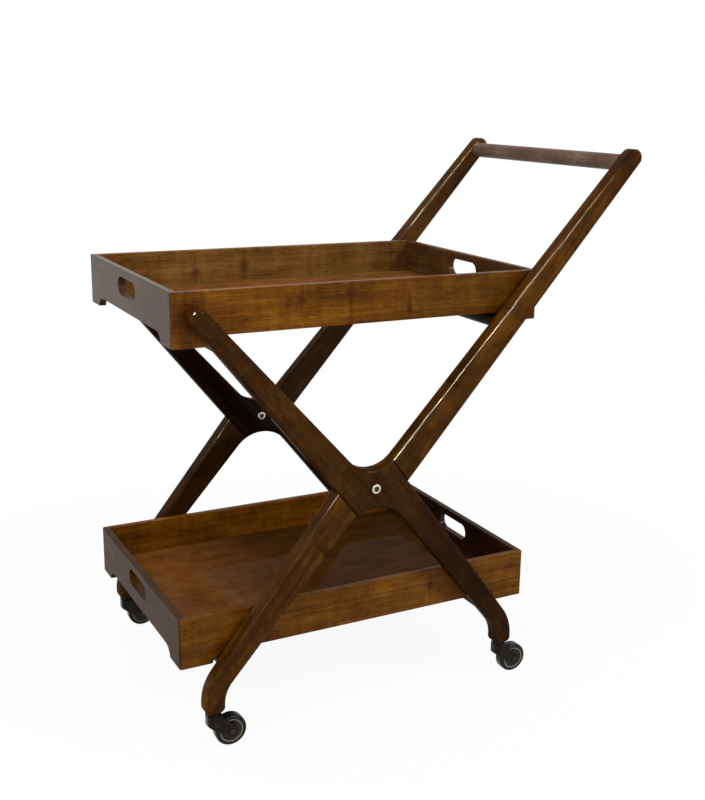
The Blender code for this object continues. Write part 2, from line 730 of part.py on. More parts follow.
def make_caster(name, stem_x, y):
    centre = Vector((stem_x, y, 0))
    flange_top = CASTER_HEIGHT - CONTACT_GAP
    flange_low = flange_top - FLANGE_THICKNESS
    crown_top = flange_low - RUNNING_GAP
    crown_low = crown_top - CROWN_THICKNESS
    pin = KINGPIN_DIAMETER / 2
    head = KINGPIN_HEAD_DIAMETER / 2
    head_top = crown_low - RUNNING_GAP
    stem_top = CASTER_HEIGHT + STEM_LENGTH
    profile = [(0, stem_top), (pin - STEM_CHAMFER, stem_top), (pin, stem_top - STEM_CHAMFER),
               (pin, flange_top), (NECK_DIAMETER / 2, flange_top), (NECK_DIAMETER / 2, flange_low),
               (pin, flange_low), (pin, head_top), (head, head_top),
               (head, head_top - KINGPIN_HEAD_THICKNESS), (0, head_top - KINGPIN_HEAD_THICKNESS)]
    turned(name + "_stem", profile, centre, (0, 0, 1), ROUND_SIDES, GUNMETAL)
    make_fork(name, centre, crown_top)
    make_wheel(name, centre + Vector((WHEEL_TRAIL, 0, WHEEL_DIAMETER / 2)))


def make_fork(name, centre, crown_top):
    wheel = Vector((WHEEL_TRAIL, WHEEL_DIAMETER / 2))
    inner = WHEEL_WIDTH / 2 + FORK_SIDE_CLEARANCE
    half = inner + FORK_WALL
    fork = upright(flat_solid(name + "_fork", fork_outline(wheel, crown_top), 2 * half))
    weigh_edges(fork, lambda start, end: abs(start.y - end.y) < CONTACT_GAP)
    round_edges(fork, FORK_EDGE_EASE, 1)
    fork.location = centre
    axle_at = centre + Vector((wheel.x, 0, wheel.y))
    cut(fork, round_cutter(name + "_wheel_pocket", axle_at, (0, 1, 0),
                           WHEEL_DIAMETER / 2 + WHEEL_CLEARANCE, 2 * inner, WHEEL_SIDES))
    cut(fork, round_cutter(name + "_axle_hole", axle_at, (0, 1, 0), AXLE_DIAMETER / 2 + BOLT_CLEARANCE,
                           2 * (half + CUT_OVERRUN), SMALL_ROUND_SIDES))
    cut(fork, round_cutter(name + "_kingpin_hole", centre + Vector((0, 0, crown_top)), (0, 0, 1),
                           KINGPIN_DIAMETER / 2 + RUNNING_GAP, 2 * CROWN_THICKNESS + 2 * CUT_OVERRUN,
                           ROUND_SIDES))
    crown_low = crown_top - CROWN_THICKNESS
    cut(fork, round_cutter(name + "_head_room", centre + Vector((0, 0, crown_low / 2)), (0, 0, 1),
                           KINGPIN_HEAD_DIAMETER / 2 + RUNNING_GAP, crown_low, ROUND_SIDES))
    for facing, corner_name in ((1, "_near_corner"), (-1, "_far_corner")):
        corner = flat_solid(name + corner_name, corner_outline(NECK_CORNER_RADIUS, facing),
                            2 * CASTER_HEIGHT, CUTTERS)
        corner.location = centre + Vector((-NECK_DIAMETER / 2, -facing * half, 0))
        cut(fork, corner)
    finish(fork, GUNMETAL)


def make_wheel(name, centre):
    half = WHEEL_WIDTH / 2
    outer = WHEEL_DIAMETER / 2
    seat = outer - TYRE_DEPTH
    shoulder = half - TYRE_SHOULDER
    tyre = [(seat, half), (outer - TYRE_SHOULDER, half), (outer, shoulder), (outer, -shoulder),
            (outer - TYRE_SHOULDER, -half), (seat, -half)]
    turned(name + "_tyre", tyre, centre, (0, 1, 0), WHEEL_SIDES, RUBBER)
    rim = seat - CONTACT_GAP
    bore = AXLE_DIAMETER / 2 + RUNNING_GAP
    hub = HUB_DIAMETER / 2
    web = half - WEB_DISH
    hub_face = half + HUB_PROUD
    upper = [(bore, hub_face), (hub, hub_face), (hub + WEB_DISH, web), (rim - WEB_DISH, web), (rim, half)]
    core = upper + [(r, -h) for r, h in reversed(upper)]
    turned(name + "_wheel", core, centre, (0, 1, 0), WHEEL_SIDES, CORE_PLASTIC)
    face = half + FORK_SIDE_CLEARANCE + FORK_WALL + RUNNING_GAP
    head = AXLE_HEAD_DIAMETER / 2
    axle = AXLE_DIAMETER / 2
    end = face + AXLE_HEAD_THICKNESS
    half_axle = [(0, end), (head, end), (head, face), (axle, face)]
    turned(name + "_axle", half_axle + [(r, -h) for r, h in reversed(half_axle)], centre, (0, 1, 0),
           SMALL_ROUND_SIDES, NICKEL)


def make_casters():
    for side, side_name in ((-1, "near"), (1, "far")):
        make_caster(side_name + "_front_caster", PIVOT_X + HANDLE_LEG.foot_centre_x, side * LEG_MID_Y)
        make_caster(side_name + "_handle_caster", PIVOT_X - CROSS_LEG.foot_centre_x, side * LEG_MID_Y)


make_legs()
make_rails()
make_bolts()
make_trays()
make_casters()
bpy.context.view_layer.update()
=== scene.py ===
"""Bar cart in a pale studio: finely rounded wooden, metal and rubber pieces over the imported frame.

Metres, +Z up, in the frame's own place. Sizes come from the boxes of the frame's pieces, and the
named lengths below are those that no box gives.
"""

import json
import math

import bmesh
import bpy
from mathutils import Matrix, Vector

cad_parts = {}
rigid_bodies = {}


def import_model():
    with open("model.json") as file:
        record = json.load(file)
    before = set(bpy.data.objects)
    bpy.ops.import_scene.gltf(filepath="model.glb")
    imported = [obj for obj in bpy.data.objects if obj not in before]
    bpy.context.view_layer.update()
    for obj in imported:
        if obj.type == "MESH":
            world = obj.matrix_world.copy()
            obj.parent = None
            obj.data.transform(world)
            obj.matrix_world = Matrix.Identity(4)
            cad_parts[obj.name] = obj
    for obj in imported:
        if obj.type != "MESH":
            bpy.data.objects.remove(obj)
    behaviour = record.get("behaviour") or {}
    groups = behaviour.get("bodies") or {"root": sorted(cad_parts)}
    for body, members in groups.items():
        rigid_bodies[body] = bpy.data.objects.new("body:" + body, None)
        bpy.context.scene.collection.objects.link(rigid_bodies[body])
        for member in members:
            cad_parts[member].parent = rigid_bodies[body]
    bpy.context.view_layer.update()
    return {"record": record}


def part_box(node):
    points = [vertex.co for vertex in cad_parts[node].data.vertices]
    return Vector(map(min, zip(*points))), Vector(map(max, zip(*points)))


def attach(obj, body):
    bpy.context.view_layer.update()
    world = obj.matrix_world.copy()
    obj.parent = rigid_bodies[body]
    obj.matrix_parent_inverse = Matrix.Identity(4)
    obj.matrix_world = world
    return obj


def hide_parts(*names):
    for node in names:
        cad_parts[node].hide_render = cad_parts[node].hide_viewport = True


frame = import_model()
ACROSS = Vector((0, 1, 0))
UP = Vector((0, 0, 1))


# Places and sizes read from the frame
def centre(node):
    low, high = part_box(node)
    return (low + high) / 2


def span(node, axis):
    low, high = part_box(node)
    return high[axis] - low[axis]


PIVOT = centre("near_cross_bolt")
LEG_THICKNESS = span("near_handle_leg", 1)
LEG_MID_Y = centre("far_handle_leg").y
INNER_FACE_Y = LEG_MID_Y - LEG_THICKNESS / 2
CONTACT_GAP = 0.0003
WELD_DISTANCE = CONTACT_GAP / 10
MITRE_GAP = 0.00022
MITRE_SEAM = 0.00004
CUT_OVERRUN = 0.004

# Leg frames, measured from the cross pivot in the plane of the frame
CROTCH_FRONT_X = 0.062
CROTCH_HANDLE_X = 0.058
CROTCH_HANDLE_Z = 0.003
TOP_FILLET_X = -0.003
TOP_FILLET_Z = 0.080
TOP_FILLET_RADIUS = 0.051
LOW_FILLET_X = 0.003
LOW_FILLET_Z = 0.0942
LOW_FILLET_RADIUS = 0.0618
HANDLE_TIP_RADIUS = 0.0134
FRONT_TIP_RADIUS = 0.013
FOOT_BEND_Z = 0.297
FOOT_BEND_RADIUS = 0.0487
FOOT_WIDTH = 0.031
FOOT_CORNER_RADIUS = 0.009
LEG_EDGE_RADIUS = 0.0055
SEAM_EASE = 0.0004

# Rails and bolts
TENON_DIAMETER = 0.016
TENON_LENGTH = 0.014
RAIL_EASE = 0.0015
BOLT_HEAD_PROUD = 0.003
BOLT_HEAD_DOME = 0.0012
BOLT_SHANK_DIAMETER = 0.006
BOLT_SHANK_REACH = 0.007
HEX_SOCKET_WIDTH = 0.0078
HEX_SOCKET_DEPTH = 0.0022
SLEEVE_DIAMETER = 0.010
BOLT_CLEARANCE = 0.0003

# Trays
TRAY_WALL = 0.011
TRAY_CORNER_RADIUS = 0.0045
MITRE_LOSS = MITRE_GAP + TRAY_CORNER_RADIUS * (1 - math.cos(math.pi / 4))
TRAY_EDGE_EASE = 0.0016
BOARD_EASE = 0.0002
ARCH_HEIGHT = 0.015
ARCH_CURVE = 0.020
FLAT_PAST_RAIL = 0.001
END_FOOT_LENGTH = 0.046
SLOT_LENGTH = 0.088
SLOT_HEIGHT = 0.028
SLOT_RISE = 0.052
FLOOR_TONGUE = 0.0024
GROOVE_DEPTH = 0.005
ARCH_SWEEP = math.acos(1 - ARCH_HEIGHT / ARCH_CURVE)
ARCH_RUN = ARCH_CURVE * math.sin(ARCH_SWEEP)

# Casters
WHEEL_CLEARANCE = 0.0013
FORK_WALL = 0.0025
FORK_HUB_RADIUS = 0.009
FORK_EDGE_EASE = 0.0008
NECK_HEIGHT = 0.0155
NECK_CORNER_RADIUS = 0.009
FLANGE_THICKNESS = 0.0035
CROWN_THICKNESS = 0.0045
KINGPIN_DIAMETER = 0.007
KINGPIN_HEAD_DIAMETER = 0.012
KINGPIN_HEAD_THICKNESS = 0.0025
TYRE_DEPTH = 0.0055
TYRE_SHOULDER = 0.0035
HUB_DIAMETER = 0.0135
HUB_PROUD = 0.0008
WEB_DISH = 0.0025
AXLE_HEAD_PROUD = 0.002
AXLE_HEAD_THICKNESS = 0.0015
RUNNING_GAP = 0.0003
RIM_HIGHLIGHT_WIDTH = 0.0012

# Facets of the fine pieces
ARC_STEP_DEG = 4.0
ROUND_SIDES = 72
QUARTER_STEPS = 5
HEX_SIDES = 6
LEG_EDGE_SEGMENTS = 6
TRAY_EDGE_SEGMENTS = 4
FORK_EDGE_SEGMENTS = 3
EASE_SEGMENTS = 2
HARD_EDGE_DEG = 38.0
FLAT_ANGLE_DEG = 0.2

# Camera, from the photograph's vanishing lines
CAMERA_PLACE = (-0.8517, -1.6446, 0.9334)
CAMERA_AZIMUTH_DEG = -29.29
CAMERA_ELEVATION_DEG = 14.51
CAMERA_ROLL_DEG = 1.294
CAMERA_LENS_MM = 50.90
CAMERA_SHIFT = (-0.0498, -0.0099)
CAMERA_CLIP = (0.05, 60)

# Wood: scales of its patterns per metre, along the grain and twice across it
SWAY_SCALE = (3.0, 10.0, 10.0)
SWAY_REACH = (0.0, 0.014, 0.014)
GROWTH_SCALE = (2.2, 85.0, 85.0)
FIBRE_SCALE = (8.0, 300.0, 300.0)
BAND_SCALE = (90.0, 8.0, 8.0)
BLOTCH_SCALE = (15.0, 24.0, 24.0)
PORE_SCALE = (60.0, 1000.0, 1000.0)
SMUDGE_SCALE = (26.0, 26.0, 26.0)
KNOT_AND_SHADE_SCALE = (150.0, 30.0, 34.0)
WOOD_ROUGHNESS = 0.36
COAT_ROUGHNESS = 0.07
LEG_LACQUER = 0.08
FIRST_BOARD_SEED = 101.0
TRAY_SEED_STEP = 31.0
BOARD_SEED_STEP = 7.3

# Metal and plastic: scales of their patterns per metre
WEAR_SCALE = (90.0, 90.0, 90.0)
FINE_SCALE = (700.0, 700.0, 700.0)
DUST_SCALE = (70.0, 70.0, 70.0)
GRIT_SCALE = (900.0, 900.0, 900.0)
# Near black, painted as shade in the bolt heads' hex sockets
SOCKET_SHADE = "0A0806"

# Studio: the paper floor turns plain white over its reach, and the room is brightest above the front end
FLOOR_HALF_SIZE = 12.0
PAPER_SCALE = (60.0, 60.0, 60.0)
PAPER_DARK = (0.74, 0.74, 0.74, 1.0)
PAPER_LIGHT = (0.78, 0.78, 0.78, 1.0)
PAPER_REACH = (0.5, 1.3)
PAPER_WHITE = 0.93
PLAIN_WHITE = (1.0, 1.0, 1.0, 1.0)
BRIGHT_SIDE = (-0.68, 0.10, 0.72)
ROOM_TURN = (-0.4, 1.0)
ROOM_DIM = 0.16
ROOM_BRIGHT = 0.85
ROOM_COLOUR = (1.0, 0.98, 0.95, 1.0)
SKY_COLOUR = (1.0, 0.94, 0.86)
STRIP_COLOUR = (1.0, 0.80, 0.52)
STRIP_SPREAD_DEG = 40


# Plane geometry of the leg frames: points are 2D vectors of x and z about the pivot
def unit(angle):
    return Vector((math.cos(angle), math.sin(angle)))


def arc(middle, radius, start, end):
    """Points on an arc from one angle to the other, in radians, ends included."""
    steps = max(2, math.ceil(abs(end - start) / math.radians(ARC_STEP_DEG)))
    return [middle + radius * unit(start + (end - start) * i / steps) for i in range(steps + 1)]


def tangent(first, first_offset, second, second_offset):
    """Direction angle of the line that passes two circles, each at a signed offset to its left."""
    run = second - first
    return math.atan2(run.y, run.x) - math.asin((first_offset - second_offset) / run.length)


def left_of(angle):
    return unit(angle + math.pi / 2)


def meet_circle(start, angle, middle, radius):
    """First point where a ray meets a circle."""
    along = unit(angle)
    to_middle = middle - start
    near = to_middle.dot(along)
    half = math.sqrt(radius ** 2 - (to_middle - near * along).length_squared)
    return start + (near - half) * along


def angle_from(middle, point):
    offset = point - middle
    return math.atan2(offset.y, offset.x)


def mirrored(points):
    return [Vector((-p.x, p.y)) for p in reversed(points)]


class LegShape:
    """Side view of a leg that rises to +X, about the pivot; facing is -1 where it stands mirrored."""

    def __init__(self, tip, tip_radius, foot_x, upper_crotch, lower_crotch, facing):
        self.tip = tip
        self.tip_radius = tip_radius
        self.upper_crotch = upper_crotch
        self.lower_crotch = lower_crotch
        self.top_fillet = Vector((facing * TOP_FILLET_X, TOP_FILLET_Z))
        self.low_fillet = Vector((facing * LOW_FILLET_X, -LOW_FILLET_Z))
        self.foot = Vector((-foot_x, -FOOT_BEND_Z))
        self.outer_bend = FOOT_BEND_RADIUS + FOOT_WIDTH
        self.lean = angle_from(self.foot, tip)
        self.upper_left = tangent(self.top_fillet, -TOP_FILLET_RADIUS, tip, tip_radius)
        self.upper_right = tangent(upper_crotch, 0, tip, -tip_radius)
        self.lower_left = tangent(self.foot, self.outer_bend, lower_crotch, 0)
        self.lower_right = tangent(self.foot, FOOT_BEND_RADIUS, self.low_fillet, LOW_FILLET_RADIUS)
        self.top_seam = meet_circle(lower_crotch, self.lower_left, self.top_fillet, TOP_FILLET_RADIUS)
        self.low_seam = meet_circle(upper_crotch, self.upper_right + math.pi, self.low_fillet,
                                    LOW_FILLET_RADIUS)

    def outline(self):
        """Anticlockwise outline, and the marks of the two seam edges as pairs of its points."""
        top_start = self.upper_left - math.pi / 2
        low_start = self.lower_right + math.pi / 2
        points = arc(self.tip, self.tip_radius, self.upper_right - math.pi / 2,
                     self.upper_left + math.pi / 2)
        points += arc(self.top_fillet, TOP_FILLET_RADIUS, top_start,
                      angle_from(self.top_fillet, self.top_seam))
        points += [self.lower_crotch]
        points += arc(self.foot, self.outer_bend, self.lower_left + math.pi / 2, math.pi)
        points += self.foot_end()
        points += arc(self.foot, FOOT_BEND_RADIUS, math.pi, low_start)
        points += arc(self.low_fillet, LOW_FILLET_RADIUS, low_start,
                      angle_from(self.low_fillet, self.low_seam))
        points += [self.upper_crotch]
        seams = [(self.top_seam, self.lower_crotch), (self.low_seam, self.upper_crotch)]
        return points, seams

    def foot_end(self):
        left = self.foot.x - self.outer_bend + FOOT_CORNER_RADIUS
        right = self.foot.x - FOOT_BEND_RADIUS - FOOT_CORNER_RADIUS
        level = FOOT_CORNER_RADIUS - FOOT_DROP
        corner = arc(Vector((left, level)), FOOT_CORNER_RADIUS, math.pi, 1.5 * math.pi)
        corner += arc(Vector((right, level)), FOOT_CORNER_RADIUS, 1.5 * math.pi, 2 * math.pi)
        return corner

    def hub_strip(self, clearance):
        """Band between this leg's seams, widened by a clearance, that the other leg gives way to."""
        reach = (self.upper_crotch - self.lower_crotch).length
        up_side = clearance * left_of(self.lower_left)
        low_side = -clearance * left_of(self.upper_right)
        up_along = reach * unit(self.lower_left)
        low_along = reach * unit(self.upper_right)
        return [self.lower_crotch + up_side - up_along, self.upper_crotch + low_side - low_along,
                self.upper_crotch + low_side + low_along, self.lower_crotch + up_side + up_along]


# The legs' tips and feet touch the sides of their boxes
HANDLE_LOW, HANDLE_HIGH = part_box("near_handle_leg")
CROSS_LOW, CROSS_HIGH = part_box("near_cross_leg")
FOOT_DROP = PIVOT.z - HANDLE_LOW.z
OUTER_BEND = FOOT_BEND_RADIUS + FOOT_WIDTH


def leg_shapes():
    front_crotch = Vector((CROTCH_FRONT_X, 0))
    handle_crotch = Vector((CROTCH_HANDLE_X, CROTCH_HANDLE_Z))
    corner = Vector((1, 1))
    handle_corner = Vector((HANDLE_HIGH.x - PIVOT.x, HANDLE_HIGH.z - PIVOT.z))
    front_corner = Vector((PIVOT.x - CROSS_LOW.x, CROSS_HIGH.z - PIVOT.z))
    handle_tip = handle_corner - HANDLE_TIP_RADIUS * corner
    front_tip = front_corner - FRONT_TIP_RADIUS * corner
    handle_leg = LegShape(handle_tip, HANDLE_TIP_RADIUS, PIVOT.x - HANDLE_LOW.x - OUTER_BEND,
                          handle_crotch, Vector((-front_crotch.x, front_crotch.y)), 1)
    cross_leg = LegShape(front_tip, FRONT_TIP_RADIUS, CROSS_HIGH.x - PIVOT.x - OUTER_BEND,
                         front_crotch, Vector((-handle_crotch.x, handle_crotch.y)), -1)
    return handle_leg, cross_leg


HANDLE_LEG, CROSS_LEG = leg_shapes()

# Each kind of leg: its shape, the shape it crosses, and the way it faces
LEGS = {"handle": (HANDLE_LEG, CROSS_LEG, 1), "cross": (CROSS_LEG, HANDLE_LEG, -1)}


# Meshes
def link(name, mesh):
    item = bpy.data.objects.new(name, mesh)
    bpy.context.scene.collection.objects.link(item)
    return item


def flat_solid(name, outline, thickness):
    """Outline extruded to both sides of its own plane, as a welded mesh."""
    curve = bpy.data.curves.new(name, "CURVE")
    curve.dimensions = "2D"
    curve.fill_mode = "BOTH"
    curve.extrude = thickness / 2
    spline = curve.splines.new("POLY")
    spline.points.add(len(outline) - 1)
    for point, place in zip(spline.points, outline):
        point.co = (place.x, place.y, 0, 1)
    spline.use_cyclic_u = True
    flat = link(name + "_curve", curve)
    bpy.context.view_layer.update()
    mesh = bpy.data.meshes.new_from_object(flat.evaluated_get(bpy.context.evaluated_depsgraph_get()))
    bpy.data.objects.remove(flat, do_unlink=True)
    work = bmesh.new()
    work.from_mesh(mesh)
    bmesh.ops.remove_doubles(work, verts=work.verts, dist=WELD_DISTANCE)
    bmesh.ops.dissolve_limit(work, angle_limit=math.radians(FLAT_ANGLE_DEG), verts=work.verts,
                             edges=work.edges)
    bmesh.ops.recalc_face_normals(work, faces=work.faces)
    work.to_mesh(mesh)
    work.free()
    return link(name, mesh)


def upright(item, y=0.0):
    """Turn a flat solid's plane to XZ, its thickness about a place in Y."""
    turn = Matrix(((1, 0, 0, 0), (0, 0, -1, y), (0, 1, 0, 0), (0, 0, 0, 1)))
    item.data.transform(turn)
    return item


def round_cutter(name, middle, direction, radius, length, sides=ROUND_SIDES):
    """Cylinder about a middle, with its axis along a direction."""
    mesh = bpy.data.meshes.new(name)
    work = bmesh.new()
    bmesh.ops.create_cone(work, cap_ends=True, segments=sides, radius1=radius, radius2=radius,
                          depth=length)
    turn = UP.rotation_difference(direction).to_matrix().to_4x4()
    bmesh.ops.transform(work, matrix=Matrix.Translation(middle) @ turn, verts=work.verts)
    work.to_mesh(mesh)
    work.free()
    return link(name, mesh)


def box_cutter(name, low, high):
    low = Vector(low)
    high = Vector(high)
    mesh = bpy.data.meshes.new(name)
    work = bmesh.new()
    bmesh.ops.create_cube(work, size=1.0)
    bmesh.ops.scale(work, vec=high - low, verts=work.verts)
    bmesh.ops.translate(work, vec=(low + high) / 2, verts=work.verts)
    work.to_mesh(mesh)
    work.free()
    return link(name, mesh)


CUTTERS = []


def cut(item, cutter):
    """Take a cutter off a piece once its modifiers are applied."""
    boolean = item.modifiers.new("cut_" + cutter.name, "BOOLEAN")
    boolean.operation = "DIFFERENCE"
    boolean.solver = "EXACT"
    boolean.object = cutter
    CUTTERS.append(cutter)


def drop_cutters():
    while CUTTERS:
        bpy.data.objects.remove(CUTTERS.pop(), do_unlink=True)


def round_edges(item, width, segments, test):
    """Round the edges whose two ends pass a test."""
    mesh = item.data
    weights = mesh.attributes.new("bevel_weight_edge", "FLOAT", "EDGE")
    for edge in mesh.edges:
        ends = [mesh.vertices[i].co for i in edge.vertices]
        weights.data[edge.index].value = 1.0 if test(*ends) else 0.0
    bevel = item.modifiers.new("rounded_edges", "BEVEL")
    bevel.limit_method = "WEIGHT"
    bevel.width = width
    bevel.segments = segments
    bevel.use_clamp_overlap = False


def ease_hard_edges(item, width):
    """Break the edges that saws and cutters left sharp."""
    ease = item.modifiers.new("eased_edges", "BEVEL")
    ease.limit_method = "ANGLE"
    ease.angle_limit = math.radians(HARD_EDGE_DEG)
    ease.width = width
    ease.segments = EASE_SEGMENTS


def applied(item):
    """The piece with its modifiers applied, smooth faces and their weighted normals."""
    bpy.context.view_layer.update()
    mesh = bpy.data.meshes.new_from_object(item.evaluated_get(bpy.context.evaluated_depsgraph_get()))
    item.modifiers.clear()
    item.data = mesh
    mesh.shade_smooth()
    mesh.set_sharp_from_angle(angle=math.radians(HARD_EDGE_DEG))
    weighted = item.modifiers.new("even_shading", "WEIGHTED_NORMAL")
    weighted.keep_sharp = True
    return item


def turned(name, profile, place, axis):
    """Solid of revolution about an axis; its profile is (radius, height), down the outside from the top."""
    mesh = bpy.data.meshes.new(name)
    verts = [(radius, 0, height) for radius, height in profile]
    edges = [(i, i + 1) for i in range(len(verts) - 1)]
    if profile[0][0] > 0:
        edges.append((len(verts) - 1, 0))
    mesh.from_pydata(verts, edges, [])
    item = link(name, mesh)
    screw = item.modifiers.new("turning", "SCREW")
    screw.steps = ROUND_SIDES
    screw.render_steps = ROUND_SIDES
    screw.use_merge_vertices = True
    screw.merge_threshold = WELD_DISTANCE
    screw.use_normal_calculate = False
    item.location = place
    item.rotation_mode = "QUATERNION"
    item.rotation_quaternion = UP.rotation_difference(axis)
    return item


def rounded(radius, height, ease, below=False):
    """Rounded corner of a turned profile, where a rim meets the face above it or below it."""
    x = radius - ease
    z = height + ease if below else height - ease
    start_deg = 0 if below else 90
    angles = [math.radians(start_deg - 90 * i / QUARTER_STEPS) for i in range(QUARTER_STEPS + 1)]
    return [(x + ease * math.cos(a), z + ease * math.sin(a)) for a in angles]


def both_ends(upper):
    """The upper half of a turned profile, and the same mirrored below."""
    return upper + [(r, -h) for r, h in reversed(upper)]


def lay_along_y(item):
    """Turn the piece's own axes about its place so that X runs along its grain, across the cart."""
    own = Matrix.Rotation(math.pi / 2, 4, "Z")
    bpy.context.view_layer.update()
    place = Matrix.Translation(item.matrix_world.translation)
    item.data.transform((place @ own).inverted() @ item.matrix_world)
    item.matrix_world = place @ own


# Bodies of the record, by node
BODY_OF = {node: body for body, nodes in frame["record"]["behaviour"]["bodies"].items() for node in nodes}


def stand_for(item, node, material):
    """The fine piece takes the CAD node's place and body, with the material it is given."""
    item.data.materials.clear()
    item.data.materials.append(material)
    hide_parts(node)
    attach(item, BODY_OF[node])


# Node materials
def srgb(code):
    """Linear colour of a six-digit sRGB code."""
    values = [int(code[i:i + 2], 16) / 255 for i in (0, 2, 4)]
    linear = [v / 12.92 if v <= 0.04045 else ((v + 0.055) / 1.055) ** 2.4 for v in values]
    return (*linear, 1.0)


class Shader:
    """Node material built step by step: values are numbers, colours or the outputs of other nodes."""

    def __init__(self, name):
        self.material = bpy.data.materials.new(name)
        self.material.use_nodes = True
        self.tree = self.material.node_tree
        self.surface = self.tree.nodes["Principled BSDF"]
        self.place = self.add("TexCoord", {}).outputs["Object"]

    def give(self, socket, value):
        if isinstance(value, bpy.types.NodeSocket):
            self.tree.links.new(value, socket)
        else:
            socket.default_value = value

    def add(self, kind, values, **settings):
        made = self.tree.nodes.new("ShaderNode" + kind)
        for key, value in settings.items():
            setattr(made, key, value)
        for key, value in values.items():
            self.give(made.inputs[key], value)
        return made

    def vector(self, operation, first, second):
        return self.add("VectorMath", {0: first, 1: second}, operation=operation).outputs[0]

    def math(self, operation, *values):
        return self.add("Math", dict(enumerate(values)), operation=operation).outputs[0]

    def length(self, value):
        return self.add("VectorMath", {0: value}, operation="LENGTH").outputs["Value"]

    def noise(self, place, scales, seed, detail=2.0, roughness=0.5, output="Fac"):
        mapped = self.add("Mapping", {"Vector": place, "Location": (seed, seed, seed), "Scale": scales})
        made = self.add("TexNoise", {"Vector": mapped.outputs[0], "Scale": 1.0, "Detail": detail,
                                     "Roughness": roughness})
        return made.outputs[output]

    def levels(self, value, low, high, to_low, to_high, smooth=False):
        kind = "SMOOTHSTEP" if smooth else "LINEAR"
        return self.add("MapRange", {0: value, 1: low, 2: high, 3: to_low, 4: to_high},
                        interpolation_type=kind).outputs[0]

    def ramp(self, value, stops):
        made = self.add("ValToRGB", {0: value})
        points = made.color_ramp.elements
        while len(points) < len(stops):
            points.new(0.5)
        for point, (at, colour) in zip(points, stops):
            point.position = at
            point.color = colour
        return made.outputs[0]

    def mix(self, share, first, second, kind="MIX"):
        return self.add("Mix", {0: share, 6: first, 7: second}, data_type="RGBA",
                        blend_type=kind).outputs[2]

    def total(self, base, parts):
        """A base number plus each part's distance from one half, weighted."""
        result = base - sum(weight for _, weight in parts) / 2
        for value, weight in parts:
            result = self.math("MULTIPLY_ADD", value, weight, result)
        return result

    def off_axis(self):
        """Distance from the piece's own Z, the axis it was turned about."""
        return self.length(self.vector("MULTIPLY", self.place, (1.0, 1.0, 0.0)))

    def set(self, **values):
        for key, value in values.items():
            self.give(self.surface.inputs[key.replace("_", " ")], value)

    def bump(self, height, strength, distance):
        made = self.add("Bump", {"Height": height, "Strength": strength, "Distance": distance})
        self.give(self.surface.inputs["Normal"], made.outputs[0])


def wood(name, colours, seed, lean=0.0, knots_and_shade_spots=(), brightness_ramp=None, figure=0.30, streak=0.7, lacquer=0.10,
         under=0.02):
    """Stained wood; its grain runs along the piece's own X, turned up by a lean.

    knots_and_shade_spots are dark spots (x, z, radius) on the board's face: knots, and one painted shade
    spot. brightness_ramp is (start x, end x, start level, end level); it scales the colour along the grain,
    as painted light and shade on the tray pieces.
    Figure is the strength of the bands across the grain, streak that of the lines along it, lacquer the
    share of the clear coat, and under the level of the stained wood's own shine.
    """
    s = Shader(name)
    dark, middle, light = [srgb(code) for code in colours]
    place = s.add("Mapping", {"Vector": s.place, "Rotation": (0.0, lean, 0.0)}).outputs[0]
    sway = s.noise(place, SWAY_SCALE, seed + 3.1, output="Color")
    pull = s.vector("MULTIPLY", s.vector("SUBTRACT", sway, (0.5, 0.5, 0.5)), SWAY_REACH)
    grain = s.vector("ADD", place, pull)
    growth = s.noise(grain, GROWTH_SCALE, seed, detail=4.0, roughness=0.6)
    fibre = s.noise(grain, FIBRE_SCALE, seed + 7.7, detail=4.0, roughness=0.65)
    bands = s.noise(place, BAND_SCALE, seed + 1.3, detail=3.5, roughness=0.62)
    blotch = s.noise(place, BLOTCH_SCALE, seed + 5.9, detail=4.0, roughness=0.6)
    pores = s.noise(grain, PORE_SCALE, seed + 9.2)
    tone = s.total(0.5, [(growth, streak), (fibre, 0.9 * streak), (bands, figure), (blotch, 0.9)])
    colour = s.ramp(tone, [(0.14, dark), (0.5, middle), (0.86, light)])
    pitted = s.levels(pores, 0.54, 0.70, 0.0, 0.60, smooth=True)
    for x, z, radius in knots_and_shade_spots:
        colour = s.mix(knot_and_shade_spot(s, place, x, z, radius, seed), colour, dark)
    colour = s.mix(pitted, colour, s.mix(1.0, colour, dark, "MULTIPLY"))
    # Painted light and shade: the colour is made brighter or darker along the grain
    if brightness_ramp:
        start, end, low, high = brightness_ramp
        along = s.add("SeparateXYZ", {0: place}).outputs[0]
        level = s.levels(along, start, end, low, high, smooth=True)
        grey = s.add("CombineXYZ", {0: level, 1: level, 2: level}).outputs[0]
        colour = s.vector("MULTIPLY", colour, grey)
    smudge = s.noise(place, SMUDGE_SCALE, seed + 4.4, detail=3.0, roughness=0.6)
    roughness = s.total(WOOD_ROUGHNESS, [(fibre, 0.12), (smudge, 0.14), (pores, 0.08)])
    s.set(Base_Color=colour, Roughness=roughness)
    s.set(Specular_IOR_Level=under, Coat_Weight=lacquer, Coat_Roughness=COAT_ROUGHNESS)
    s.bump(s.total(0.5, [(fibre, 0.4), (growth, 0.6), (pitted, -0.12)]), strength=0.25, distance=0.0004)
    return s.material


def knot_and_shade_spot(s, place, x, z, radius, seed):
    """Share of a soft dark smudge about a place on the face, drawn out upwards across the grain."""
    # Draws the knots, and also the painted shade spot on the top tray's near side
    offset = s.vector("SUBTRACT", place, (x, 0, z))
    ragged = s.noise(place, KNOT_AND_SHADE_SCALE, seed + 2.2, detail=4.0, roughness=0.65)
    heart = s.vector("MULTIPLY", offset, (1.0 / radius, 0, 0.8 / radius))
    tail = s.vector("MULTIPLY", offset, (2.6 / radius, 0, 0.24 / radius))
    uneven = s.total(0.0, [(ragged, 1.5)])
    shares = []
    for reach, strength in ((heart, 0.85), (tail, 0.55)):
        distance = s.math("ADD", s.length(reach), uneven)
        shares.append(s.levels(distance, 0.1, 1.25, strength, 0.0, smooth=True))
    return s.math("MAXIMUM", *shares)


